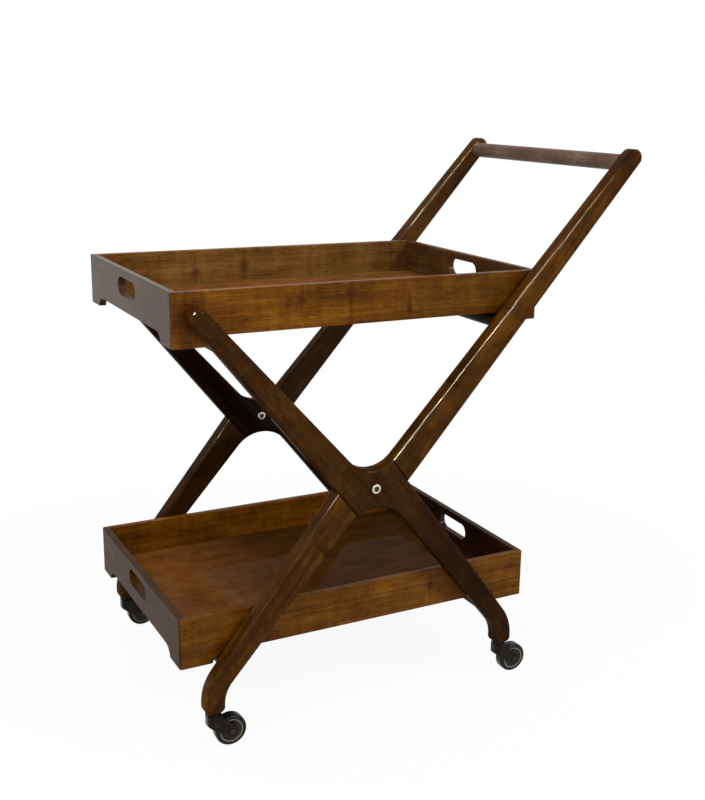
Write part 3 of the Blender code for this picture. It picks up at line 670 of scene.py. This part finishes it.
def plated(name, colour, worn, seed, roughness, metallic=1.0, shine=0.5, socket=None):
    """Plated metal, dulled in soft patches; socket is the radius of a turned head's middle, which is
    painted near black as shade in its hex socket.
    """
    s = Shader(name)
    wear = s.noise(s.place, WEAR_SCALE, seed, detail=3.0, roughness=0.55)
    fine = s.noise(s.place, FINE_SCALE, seed + 2.0)
    tone = s.levels(wear, 0.45, 0.75, 0.0, 1.0, smooth=True)
    tint = s.mix(tone, srgb(colour), srgb(worn))
    # Painted shade: the head's middle within the socket's radius is made near black
    if socket:
        socket_shade = s.levels(s.off_axis(), socket, 1.15 * socket, 0.92, 0.0, smooth=True)
        tint = s.mix(socket_shade, tint, srgb(SOCKET_SHADE))
    s.set(Base_Color=tint, Metallic=metallic, Specular_IOR_Level=shine)
    s.set(Roughness=s.total(roughness, [(wear, 0.20), (fine, 0.05)]))
    s.bump(s.total(0.5, [(fine, 0.3), (wear, 0.3)]), strength=0.1, distance=0.0001)
    return s.material


def moulded(name, colour, dusty, seed, roughness, highlight_ring=None):
    """Moulded rubber or plastic with a little dust; highlight_ring is a painted highlight, a pale band
    (radius, width, colour) about the axle.
    """
    s = Shader(name)
    dust = s.noise(s.place, DUST_SCALE, seed, detail=4.0, roughness=0.6)
    grit = s.noise(s.place, GRIT_SCALE, seed + 3.0)
    share = s.levels(dust, 0.50, 0.85, 0.0, 0.5, smooth=True)
    tint = s.mix(share, srgb(colour), srgb(dusty))
    # Painted highlight: a pale ring about the axle
    if highlight_ring:
        radius, width, highlight_colour = highlight_ring
        away = s.math("ABSOLUTE", s.math("SUBTRACT", s.off_axis(), radius))
        tint = s.mix(s.levels(away, 0.5 * width, 0.9 * width, 1.0, 0.0, smooth=True), tint, srgb(highlight_colour))
    s.set(Base_Color=tint)
    s.set(Roughness=s.total(roughness, [(dust, 0.20), (grit, 0.06)]), Specular_IOR_Level=0.18)
    s.bump(grit, strength=0.1, distance=0.0001)
    return s.material


# Legs
def make_leg(side, side_name, kind, material):
    """One leg, on side -1 near or +1 far; its facing says which half of the lap stays whole."""
    shape, other, facing = LEGS[kind]
    node = f"{side_name}_{kind}_leg"
    points, seams = shape.outline()
    strip = other.hub_strip(CONTACT_GAP)
    if facing < 0:
        points = mirrored(points)
    else:
        strip = mirrored(strip)
    seam_ends = [[Vector((facing * p.x, p.y)) for p in seam] for seam in seams]
    leg = upright(flat_solid(node + "_fine", points, LEG_THICKNESS))

    def on_round(start, end):
        flat = abs(start.y - end.y) < CONTACT_GAP
        ends = [Vector((v.x, v.z)) for v in (start, end)]
        on_seam = any(all(min((e - s).length for s in seam) < CONTACT_GAP for e in ends)
                      for seam in seam_ends)
        return flat and not on_seam

    round_edges(leg, LEG_EDGE_RADIUS, LEG_EDGE_SEGMENTS, on_round)
    depth = LEG_THICKNESS / 2 + CONTACT_GAP / 2 + CUT_OVERRUN
    lap_y = -facing * (depth / 2 - CONTACT_GAP / 2)
    cut(leg, upright(flat_solid(node + "_lap", strip, depth), lap_y))
    leg.location = (PIVOT.x, side * LEG_MID_Y, PIVOT.z)
    for cutter in CUTTERS:
        cutter.location = leg.location
    diameter = BOLT_SHANK_DIAMETER if facing < 0 else SLEEVE_DIAMETER
    cut(leg, round_cutter(node + "_bolt_hole", leg.location, ACROSS, diameter / 2 + BOLT_CLEARANCE,
                          LEG_THICKNESS + 2 * CUT_OVERRUN))
    for rail in RAILS_IN[kind]:
        at = centre(rail)
        at.y = side * INNER_FACE_Y
        cut(leg, round_cutter(f"{node}_{rail}", at, ACROSS, TENON_DIAMETER / 2 + CONTACT_GAP,
                              2 * (TENON_LENGTH + CONTACT_GAP)))
    ease_hard_edges(leg, SEAM_EASE)
    applied(leg)
    drop_cutters()
    stand_for(leg, node, material)


RAILS_IN = {
    "handle": ("handle_bar", "top_handle_rail", "bottom_front_rail"),
    "cross": ("top_front_rail", "bottom_handle_rail"),
}


def make_legs():
    handle, cross = HANDLE_LEG.lean, math.pi - CROSS_LEG.lean
    looks = {
        "near_handle": dict(colours=("1A0C02", "3F2407", "633E0E"), seed=11.0, lean=handle,
                            knots_and_shade_spots=((0.345, 0.004, 0.014), (0.20, -0.010, 0.008), (-0.12, 0.0, 0.010))),
        # The near cross and far handle legs are made darker towards the foot by their brightness ramps
        "near_cross": dict(colours=("190B01", "371E05", "4E300A"), seed=23.0, lean=cross,
                           brightness_ramp=(-0.20, 0.14, 0.50, 1.0)),
        "far_handle": dict(colours=("231204", "43290C", "5C3C14"), seed=37.0, lean=handle,
                           brightness_ramp=(-0.10, 0.16, 0.60, 1.0)),
        # The far cross leg's colours are painted darker than the near one's, as shade on the far frame
        "far_cross": dict(colours=("0C0602", "1B0E05", "2A1808"), seed=41.0, lean=cross),
    }
    woods = {}
    for name, look in looks.items():
        woods[name] = wood(name + "_leg_wood", figure=0.2, streak=0.6, lacquer=LEG_LACQUER, under=0.0,
                           **look)
    for side, side_name in ((-1, "near"), (1, "far")):
        for kind in LEGS:
            make_leg(side, side_name, kind, woods[f"{side_name}_{kind}"])


# Rails and the handle bar
def make_rails():
    rail_wood = wood("rail_wood", ("140A04", "26160A", "36220E"), seed=53.0, figure=0.1, lacquer=0.0)
    bar_wood = wood("handle_bar_wood", ("3A2A22", "5E4A3E", "7A6456"), seed=59.0, figure=0.1, streak=0.4)
    tenon = TENON_DIAMETER / 2
    half = INNER_FACE_Y - CONTACT_GAP
    reach = INNER_FACE_Y + TENON_LENGTH
    for kind in RAILS_IN:
        for node in RAILS_IN[kind]:
            radius = span(node, 0) / 2
            upper = [(0, reach)] + rounded(tenon, reach, RAIL_EASE)
            upper += [(tenon, half)] + rounded(radius, half, RAIL_EASE)
            rail = applied(turned(node + "_fine", both_ends(upper), centre(node), ACROSS))
            lay_along_y(rail)
            stand_for(rail, node, bar_wood if node == "handle_bar" else rail_wood)


# Cross bolts and their sleeve nuts
def make_bolts():
    nickel = plated("nickel_plate", "D0C8B8", "A89C86", seed=71.0, roughness=0.2,
                    socket=HEX_SOCKET_WIDTH / 2)
    outer = LEG_THICKNESS / 2 + CONTACT_GAP
    head = span("near_cross_bolt", 0) / 2
    top = outer + BOLT_HEAD_PROUD
    shank = BOLT_SHANK_DIAMETER / 2
    sleeve = SLEEVE_DIAMETER / 2
    bore = shank + BOLT_CLEARANCE
    dome = rounded(head, top, BOLT_HEAD_DOME)
    for side, side_name in ((-1, "near"), (1, "far")):
        place = Vector((PIVOT.x, side * LEG_MID_Y, PIVOT.z))
        profile = [(0, top)] + dome + [(head, outer), (shank, outer)]
        profile += [(shank, -BOLT_SHANK_REACH), (0, -BOLT_SHANK_REACH)]
        bolt = turned(side_name + "_cross_bolt_fine", profile, place, -ACROSS)
        depth = HEX_SOCKET_DEPTH + CUT_OVERRUN
        mouth = place - Vector((0, top - HEX_SOCKET_DEPTH + depth / 2, 0))
        corner = HEX_SOCKET_WIDTH / math.sqrt(3)
        cut(bolt, round_cutter(side_name + "_hex", mouth, ACROSS, corner, depth, HEX_SIDES))
        applied(bolt)
        drop_cutters()
        stand_for(bolt, side_name + "_cross_bolt", nickel)
        end = BOLT_SHANK_REACH + CONTACT_GAP
        profile = [(0, top)] + dome + [(head, outer), (sleeve, outer), (sleeve, CONTACT_GAP)]
        profile += [(bore, CONTACT_GAP), (bore, end), (0, end)]
        nut = applied(turned(side_name + "_sleeve_nut_fine", profile, place, ACROSS))
        stand_for(nut, side_name + "_sleeve_nut", nickel)


# Trays
def arch_outline(left_end, right_end):
    """Opening under a board between the ends of its feet, with hollow curves up to the arch."""
    left = Vector((left_end + ARCH_RUN, ARCH_HEIGHT - ARCH_CURVE))
    right = Vector((right_end - ARCH_RUN, ARCH_HEIGHT - ARCH_CURVE))
    points = arc(right, ARCH_CURVE, math.pi / 2 - ARCH_SWEEP, math.pi / 2)
    points += arc(left, ARCH_CURVE, math.pi / 2, math.pi / 2 + ARCH_SWEEP)
    return points + [Vector((left_end, -CUT_OVERRUN)), Vector((right_end, -CUT_OVERRUN))]


def slot_outline():
    offset = (SLOT_LENGTH - SLOT_HEIGHT) / 2
    points = arc(Vector((offset, SLOT_RISE)), SLOT_HEIGHT / 2, -math.pi / 2, math.pi / 2)
    return points + arc(Vector((-offset, SLOT_RISE)), SLOT_HEIGHT / 2, math.pi / 2, 1.5 * math.pi)


def board_plan(half):
    """Plan of a mitred board along x, outer face at y = 0 and inner face at y = wall."""
    right = Vector((half - TRAY_CORNER_RADIUS, TRAY_CORNER_RADIUS))
    plan = arc(right, TRAY_CORNER_RADIUS, -math.pi / 2, -math.pi / 4)
    plan += [Vector((half - TRAY_WALL, TRAY_WALL))]
    return plan + mirrored(plan)


def make_board(node, turn_z, floor, arch, slot, material):
    """One board: its own X runs along its grain, Y through its wall and Z up."""
    low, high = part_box(node)
    size = high - low
    along, across = (0, 1) if size.x > size.y else (1, 0)
    half = size[along] / 2 + MITRE_LOSS - MITRE_SEAM
    board = flat_solid(node + "_fine", board_plan(half), size.z)
    board.data.transform(Matrix.Translation((0, 0, size.z / 2)))

    def on_rim(start, end):
        level = min(start.z, end.z) > size.z - CONTACT_GAP
        on_mitre = abs(abs(start.x - end.x) - abs(start.y - end.y)) < WELD_DISTANCE
        short = max(start.y, end.y) > TRAY_WALL - CONTACT_GAP and min(start.y, end.y) < TRAY_WALL / 2
        return level and not (on_mitre and short)

    round_edges(board, TRAY_EDGE_EASE, TRAY_EDGE_SEGMENTS, on_rim)
    turn = Matrix.Rotation(turn_z, 4, "Z")
    outward = turn @ -ACROSS
    place = (low + high) / 2
    place[across] = high[across] if outward[across] > 0 else low[across]
    place.z = low.z
    depth = TRAY_WALL + 2 * CUT_OVERRUN
    cut(board, upright(flat_solid(node + "_arch", arch_outline(*arch), depth), TRAY_WALL / 2))
    if slot:
        cut(board, upright(flat_solid(node + "_slot", slot_outline(), depth), TRAY_WALL / 2))
    tongue_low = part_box(floor)[0].z - low.z - CONTACT_GAP
    cut(board, box_cutter(node + "_groove", (-2 * half, TRAY_WALL - GROOVE_DEPTH, tongue_low),
                          (2 * half, TRAY_WALL + CUT_OVERRUN, tongue_low + FLOOR_TONGUE + 2 * CONTACT_GAP)))
    ease_hard_edges(board, BOARD_EASE)
    applied(board)
    drop_cutters()
    board.matrix_world = Matrix.Translation(place) @ turn
    stand_for(board, node, material)


def make_floor(node, material):
    """Panel between the boards, with the tongue that lies in their grooves and eased field edges."""
    low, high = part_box(node)
    size = high - low
    mesh = bpy.data.meshes.new(node)
    work = bmesh.new()
    bmesh.ops.create_cube(work, size=1.0)
    bmesh.ops.scale(work, vec=(size.x, size.y, FLOOR_TONGUE), verts=work.verts)
    bmesh.ops.translate(work, vec=(0, 0, FLOOR_TONGUE / 2), verts=work.verts)
    top = [face for face in work.faces if face.normal.z > 0.5]
    bmesh.ops.inset_region(work, faces=top, thickness=GROOVE_DEPTH, use_even_offset=True)
    field = bmesh.ops.extrude_discrete_faces(work, faces=top)["faces"]
    raised = {vert for face in field for vert in face.verts}
    bmesh.ops.translate(work, vec=(0, 0, size.z - FLOOR_TONGUE), verts=list(raised))
    work.to_mesh(mesh)
    work.free()
    floor = link(node + "_fine", mesh)
    ease_hard_edges(floor, BOARD_EASE)
    applied(floor)
    floor.location = (centre(node).x, centre(node).y, low.z)
    stand_for(floor, node, material)


def arch_ends(level, board):
    """Left and right end of a board's arch; a long side's flat runs just past both cross rails."""
    if board.endswith("_end"):
        across = span(f"{level}_tray_{board}", 1) / 2 + MITRE_LOSS - END_FOOT_LENGTH
        return -across, across
    past = FLAT_PAST_RAIL + ARCH_RUN
    front = centre(level + "_front_rail").x - PIVOT.x - past
    handle = centre(level + "_handle_rail").x - PIVOT.x + past
    return (front, handle) if board == "near_side" else (-handle, -front)


def make_trays():
    # The boards and floors are one wood with light and shade painted into their colours: the handle ends
    # and the bottom tray's ends and floor are painted darker as shade, and the inside of the top far side
    # lighter as painted light
    outside = ("341802", "5A3506", "784E10")
    inside = ("422610", "6A4820", "845E34")
    # Brightness ramps paint light and shade along the tray pieces: each is painted brighter towards one
    # end, the top near side and the bottom floor most, towards the front end
    boards = {
        "top_tray_near_side": dict(colours=outside, lacquer=0.08, brightness_ramp=(-0.28, 0.28, 1.35, 0.72),
                                   # The first, wide spot is painted shade about the cross leg's tip at the
                                   # board's front end; the others are knots
                                   knots_and_shade_spots=((-0.276, 0.045, 0.036), (-0.108, 0.058, 0.008),
                                          (-0.030, 0.062, 0.011), (0.068, 0.030, 0.007))),
        "top_tray_far_side": dict(colours=inside, brightness_ramp=(-0.28, 0.28, 0.95, 1.15),
                                  knots_and_shade_spots=((0.036, 0.046, 0.012), (0.125, 0.040, 0.009))),
        "top_tray_front_end": dict(colours=("271A0E", "3E2B1A", "503B26"), lacquer=0.24),
        "top_tray_handle_end": dict(colours=("2A160A", "462B15", "5C4020")),
        "bottom_tray_near_side": dict(colours=outside, lacquer=0.08, brightness_ramp=(-0.28, 0.28, 0.95, 1.05),
                                      knots_and_shade_spots=((0.12, 0.050, 0.007),)),
        "bottom_tray_far_side": dict(colours=("3A2004", "643A08", "805010"),
                                     knots_and_shade_spots=((-0.15, 0.045, 0.010),)),
        "bottom_tray_front_end": dict(colours=("211207", "36220F", "463118"), lacquer=0.04),
        "bottom_tray_handle_end": dict(colours=("1A0D05", "2E1A0C", "402814")),
    }
    floors = {
        "top_tray_floor": dict(colours=("402410", "6C4622", "885E30"), seed=171.0,
                               brightness_ramp=(-0.28, 0.28, 0.95, 1.05)),
        "bottom_tray_floor": dict(colours=("36190A", "503013", "62401A"), seed=184.0,
                                  brightness_ramp=(-0.28, 0.02, 2.0, 0.62)),
    }
    turns = {"near_side": 0, "far_side": math.pi, "front_end": -math.pi / 2, "handle_end": math.pi / 2}
    for row, level in enumerate(("top", "bottom")):
        tray = level + "_tray"
        for column, (board, turn) in enumerate(turns.items()):
            node = f"{tray}_{board}"
            seed = FIRST_BOARD_SEED + TRAY_SEED_STEP * row + BOARD_SEED_STEP * column
            material = wood(node + "_wood", seed=seed, figure=0.32, streak=0.6, **boards[node])
            make_board(node, turn, tray + "_floor", arch_ends(level, board), board.endswith("_end"),
                       material)
        node = tray + "_floor"
        make_floor(node, wood(node + "_wood", figure=0.12, streak=0.25, lacquer=0.05, under=0.0,
                              **floors[node]))


# Casters
def fork_outline(wheel, neck, crown_top):
    """Side view of the fork about its stem: upright neck, then cheeks that lean down to the hub."""
    heel = Vector((-neck, crown_top - NECK_HEIGHT))
    shoulder = Vector((neck, crown_top - CROWN_THICKNESS))
    down = tangent(heel, 0, wheel, -FORK_HUB_RADIUS)
    up = tangent(wheel, -FORK_HUB_RADIUS, shoulder, 0)
    points = [shoulder, Vector((neck, crown_top)), Vector((-neck, crown_top)), heel]
    return points + arc(wheel, FORK_HUB_RADIUS, down - math.pi / 2, up - math.pi / 2)


def corner_outline(radius, facing):
    """Plan of what rounding takes off a square corner at the origin that points to -X and -facing."""
    points = arc(Vector((radius, radius)), radius, 1.5 * math.pi, math.pi)
    points += [Vector((-CUT_OVERRUN, radius)), Vector((-CUT_OVERRUN, -CUT_OVERRUN)),
               Vector((radius, -CUT_OVERRUN))]
    return [Vector((p.x, facing * p.y)) for p in points]


def make_fork(name, stem, axle, neck, material):
    crown_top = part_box(name + "_fork")[1].z
    half = span(name + "_fork", 1) / 2
    radius = span(name + "_tyre", 2) / 2
    wheel = Vector((axle.x - stem.x, axle.z))
    inner = half - FORK_WALL
    fork = upright(flat_solid(name + "_fork_fine", fork_outline(wheel, neck, crown_top), 2 * half))
    round_edges(fork, FORK_EDGE_EASE, FORK_EDGE_SEGMENTS,
                lambda start, end: abs(start.y - end.y) < CONTACT_GAP)
    fork.location = (stem.x, stem.y, 0)
    cut(fork, round_cutter(name + "_wheel_pocket", axle, ACROSS, radius + WHEEL_CLEARANCE, 2 * inner))
    bore = axle_radius(name) + RUNNING_GAP
    cut(fork, round_cutter(name + "_axle_hole", axle, ACROSS, bore, 2 * (half + CUT_OVERRUN)))
    pin_radius = KINGPIN_DIAMETER / 2 + RUNNING_GAP
    cut(fork, round_cutter(name + "_kingpin_hole", Vector((stem.x, stem.y, crown_top)), UP, pin_radius,
                           2 * (CROWN_THICKNESS + CUT_OVERRUN)))
    crown_low = crown_top - CROWN_THICKNESS
    cut(fork, round_cutter(name + "_head_room", Vector((stem.x, stem.y, crown_low / 2)), UP,
                           KINGPIN_HEAD_DIAMETER / 2 + RUNNING_GAP, crown_low))
    for facing, corner_name in ((1, "_near_corner"), (-1, "_far_corner")):
        corner = flat_solid(name + corner_name, corner_outline(NECK_CORNER_RADIUS, facing), 3 * crown_top)
        corner.location = (stem.x - neck, stem.y - facing * half, 0)
        cut(fork, corner)
    ease_hard_edges(fork, SEAM_EASE)
    applied(fork)
    drop_cutters()
    stand_for(fork, name + "_fork", material)


def make_stem(name, stem, neck, material):
    low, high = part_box(name + "_stem")
    pin = KINGPIN_DIAMETER / 2
    head = KINGPIN_HEAD_DIAMETER / 2
    flange_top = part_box(name + "_fork")[1].z + RUNNING_GAP + FLANGE_THICKNESS
    flange_low = flange_top - FLANGE_THICKNESS
    head_top = low.z + KINGPIN_HEAD_THICKNESS
    ease = FORK_EDGE_EASE
    profile = [(0, high.z)] + rounded(pin, high.z, ease) + [(pin, flange_top)]
    profile += rounded(neck, flange_top, ease)
    profile += rounded(neck, flange_low, ease, below=True)
    profile += [(pin, flange_low), (pin, head_top)]
    profile += rounded(head, head_top, ease) + [(head, low.z), (0, low.z)]
    piece = applied(turned(name + "_stem_fine", profile, Vector((stem.x, stem.y, 0)), UP))
    stand_for(piece, name + "_stem", material)


def axle_radius(name):
    return span(name + "_axle", 0) / 2 - AXLE_HEAD_PROUD


def make_tyre(name, axle, material):
    half = span(name + "_tyre", 1) / 2
    outer = span(name + "_tyre", 2) / 2
    upper = [(outer - TYRE_DEPTH, half)] + rounded(outer, half, TYRE_SHOULDER)
    tyre = applied(turned(name + "_tyre_fine", both_ends(upper), axle, ACROSS))
    stand_for(tyre, name + "_tyre", material)


def make_wheel(name, axle, material):
    """The wheel's core: hub, dished web and rim."""
    half = span(name + "_tyre", 1) / 2
    rim = span(name + "_tyre", 2) / 2 - TYRE_DEPTH - CONTACT_GAP
    bore = axle_radius(name) + RUNNING_GAP
    hub = HUB_DIAMETER / 2
    face = half + HUB_PROUD
    web = half - WEB_DISH
    ease = FORK_EDGE_EASE
    upper = [(bore, face)] + rounded(hub, face, ease) + [(hub + WEB_DISH / 2, web)]
    upper += [(rim - 2 * WEB_DISH, web), (rim - WEB_DISH, half - ease)] + rounded(rim, half, ease)
    core = applied(turned(name + "_wheel_fine", both_ends(upper), axle, ACROSS))
    stand_for(core, name + "_wheel", material)


def make_axle(name, axle, material):
    half = span(name + "_axle", 1) / 2
    pin = axle_radius(name)
    head = pin + AXLE_HEAD_PROUD
    face = half - AXLE_HEAD_THICKNESS
    upper = [(0, half)] + rounded(head, half, FORK_EDGE_EASE) + [(head, face), (pin, face)]
    piece = applied(turned(name + "_axle_fine", both_ends(upper), axle, ACROSS))
    stand_for(piece, name + "_axle", material)


def make_casters():
    gunmetal = plated("gunmetal_plate", "17130E", "2A241C", seed=81.0, roughness=0.2, metallic=0.4,
                      shine=0.12)
    steel = plated("axle_steel", "38322A", "241F1A", seed=83.0, roughness=0.26)
    rubber = moulded("tyre_rubber", "0A0A09", "181715", seed=87.0, roughness=0.30)
    rim = span("near_front_caster_wheel", 0) / 2
    # The wheel core carries a painted highlight, a pale ring just inside its rim
    core = moulded("wheel_core_plastic", "221B13", "42382A", seed=91.0, roughness=0.22,
                   highlight_ring=(rim - RIM_HIGHLIGHT_WIDTH, RIM_HIGHLIGHT_WIDTH, "77705F"))
    for side_name in ("near", "far"):
        for end_name in ("front", "handle"):
            name = f"{side_name}_{end_name}_caster"
            stem = centre(name + "_stem")
            axle = centre(name + "_tyre")
            neck = span(name + "_stem", 0) / 2
            make_stem(name, stem, neck, gunmetal)
            make_fork(name, stem, axle, neck, gunmetal)
            make_tyre(name, axle, rubber)
            make_wheel(name, axle, core)
            make_axle(name, axle, steel)


# Studio
def seen_rays(tree):
    """1 for the rays that show the background: the camera's, and those mirrored or let through."""
    rays = tree.nodes.new("ShaderNodeLightPath").outputs
    total = rays["Is Camera Ray"]
    for name in ("Is Glossy Ray", "Is Transmission Ray"):
        add = tree.nodes.new("ShaderNodeMath")
        add.operation = "ADD"
        add.use_clamp = True
        tree.links.new(total, add.inputs[0])
        tree.links.new(rays[name], add.inputs[1])
        total = add.outputs[0]
    return total


def make_floor_plane():
    """Paper floor: it keeps a faint shadow near the cart and runs out to plain white."""
    mesh = bpy.data.meshes.new("studio_floor")
    work = bmesh.new()
    bmesh.ops.create_grid(work, x_segments=1, y_segments=1, size=FLOOR_HALF_SIZE)
    work.to_mesh(mesh)
    work.free()
    plane = link("studio_floor", mesh)
    s = Shader("studio_floor_paper")
    grain = s.noise(s.place, PAPER_SCALE, seed=5.0, detail=3.0)
    s.set(Base_Color=s.mix(grain, PAPER_DARK, PAPER_LIGHT), Roughness=0.9, Specular_IOR_Level=0.0)
    white = s.add("Emission", {"Color": PLAIN_WHITE, "Strength": 1.0})
    share = s.levels(s.length(s.place), *PAPER_REACH, PAPER_WHITE, 1.0, smooth=True)
    share = s.math("MULTIPLY", share, seen_rays(s.tree))
    both = s.add("MixShader", {0: share, 1: s.surface.outputs[0], 2: white.outputs[0]})
    s.tree.links.new(both.outputs[0], s.tree.nodes["Material Output"].inputs["Surface"])
    plane.data.materials.append(s.material)


def make_world():
    """White background for the rays that show it; the object itself is lit by a soft, uneven room."""
    world = bpy.data.worlds.new("studio")
    bpy.context.scene.world = world
    world.use_nodes = True
    tree = world.node_tree
    tree.nodes.clear()
    place = tree.nodes.new("ShaderNodeTexCoord").outputs["Generated"]
    side = tree.nodes.new("ShaderNodeVectorMath")
    side.operation = "DOT_PRODUCT"
    side.inputs[1].default_value = BRIGHT_SIDE
    tree.links.new(place, side.inputs[0])
    level = tree.nodes.new("ShaderNodeMapRange")
    level.interpolation_type = "SMOOTHSTEP"
    for index, value in ((1, ROOM_TURN[0]), (2, ROOM_TURN[1]), (3, ROOM_DIM), (4, ROOM_BRIGHT)):
        level.inputs[index].default_value = value
    tree.links.new(side.outputs["Value"], level.inputs[0])
    room = tree.nodes.new("ShaderNodeBackground")
    room.inputs["Color"].default_value = ROOM_COLOUR
    tree.links.new(level.outputs[0], room.inputs["Strength"])
    seen = tree.nodes.new("ShaderNodeBackground")
    seen.inputs["Color"].default_value = PLAIN_WHITE
    mix = tree.nodes.new("ShaderNodeMixShader")
    out = tree.nodes.new("ShaderNodeOutputWorld")
    tree.links.new(seen_rays(tree), mix.inputs[0])
    tree.links.new(room.outputs[0], mix.inputs[1])
    tree.links.new(seen.outputs[0], mix.inputs[2])
    tree.links.new(mix.outputs[0], out.inputs["Surface"])


def area_light(name, direction, distance, size, power, along=(1, 0, 0), slide=0.0):
    """Lamp that faces the cart from a direction; size is its length along a line, and its width."""
    data = bpy.data.lights.new(name, "AREA")
    data.shape = "RECTANGLE"
    data.size, data.size_y = size
    data.energy = power
    lamp = bpy.data.objects.new(name, data)
    bpy.context.scene.collection.objects.link(lamp)
    z = Vector(direction).normalized()
    x = (Vector(along) - z.dot(Vector(along)) * z).normalized()
    lamp.location = Vector((0, 0, PIVOT.z)) + z * distance + x * slide
    lamp.rotation_mode = "QUATERNION"
    lamp.rotation_quaternion = Matrix((x, z.cross(x), z)).transposed().to_quaternion()
    return lamp


def make_lights():
    """Two soft lamps, and a strip along the handle legs that only glints on the frame's lacquered edges."""
    area_light("window", direction=(0.46, -0.66, 0.60), distance=3.4, size=(1.1, 1.1), power=66)
    sky = area_light("sky", direction=(-0.62, -0.28, 0.73), distance=3.4, size=(2.0, 2.0), power=60)
    sky.data.color = SKY_COLOUR
    lean = HANDLE_LEG.lean
    strip = area_light("strip", direction=(-0.57, -0.52, 0.63), distance=4.5, size=(2.9, 0.10), power=420,
                       along=(math.cos(lean), 0, math.sin(lean)), slide=0.55)
    strip.data.color = STRIP_COLOUR
    strip.data.spread = math.radians(STRIP_SPREAD_DEG)
    strip.visible_diffuse = False
    edges = bpy.data.collections.new("glint_receivers")
    for item in bpy.context.scene.objects:
        if "_leg_" in item.name or "handle_bar" in item.name:
            edges.objects.link(item)
    strip.light_linking.receiver_collection = edges


def make_camera():
    data = bpy.data.cameras.new("camera")
    data.lens = CAMERA_LENS_MM
    data.shift_x, data.shift_y = CAMERA_SHIFT
    data.clip_start, data.clip_end = CAMERA_CLIP
    azimuth = math.radians(CAMERA_AZIMUTH_DEG)
    elevation = math.radians(CAMERA_ELEVATION_DEG)
    back = Vector((math.sin(azimuth) * math.cos(elevation), -math.cos(azimuth) * math.cos(elevation),
                   math.sin(elevation)))
    right = Vector((math.cos(azimuth), math.sin(azimuth), 0))
    level = Matrix((right, back.cross(right), back)).transposed()
    roll = Matrix.Rotation(math.radians(CAMERA_ROLL_DEG), 3, "Z")
    camera = bpy.data.objects.new("camera", data)
    bpy.context.scene.collection.objects.link(camera)
    camera.rotation_mode = "QUATERNION"
    camera.rotation_quaternion = (level @ roll).to_quaternion()
    camera.location = CAMERA_PLACE
    bpy.context.scene.camera = camera


make_legs()
make_rails()
make_bolts()
make_trays()
make_casters()
make_floor_plane()
make_world()
make_lights()
make_camera()
bpy.context.scene.view_settings.view_transform = "Standard"
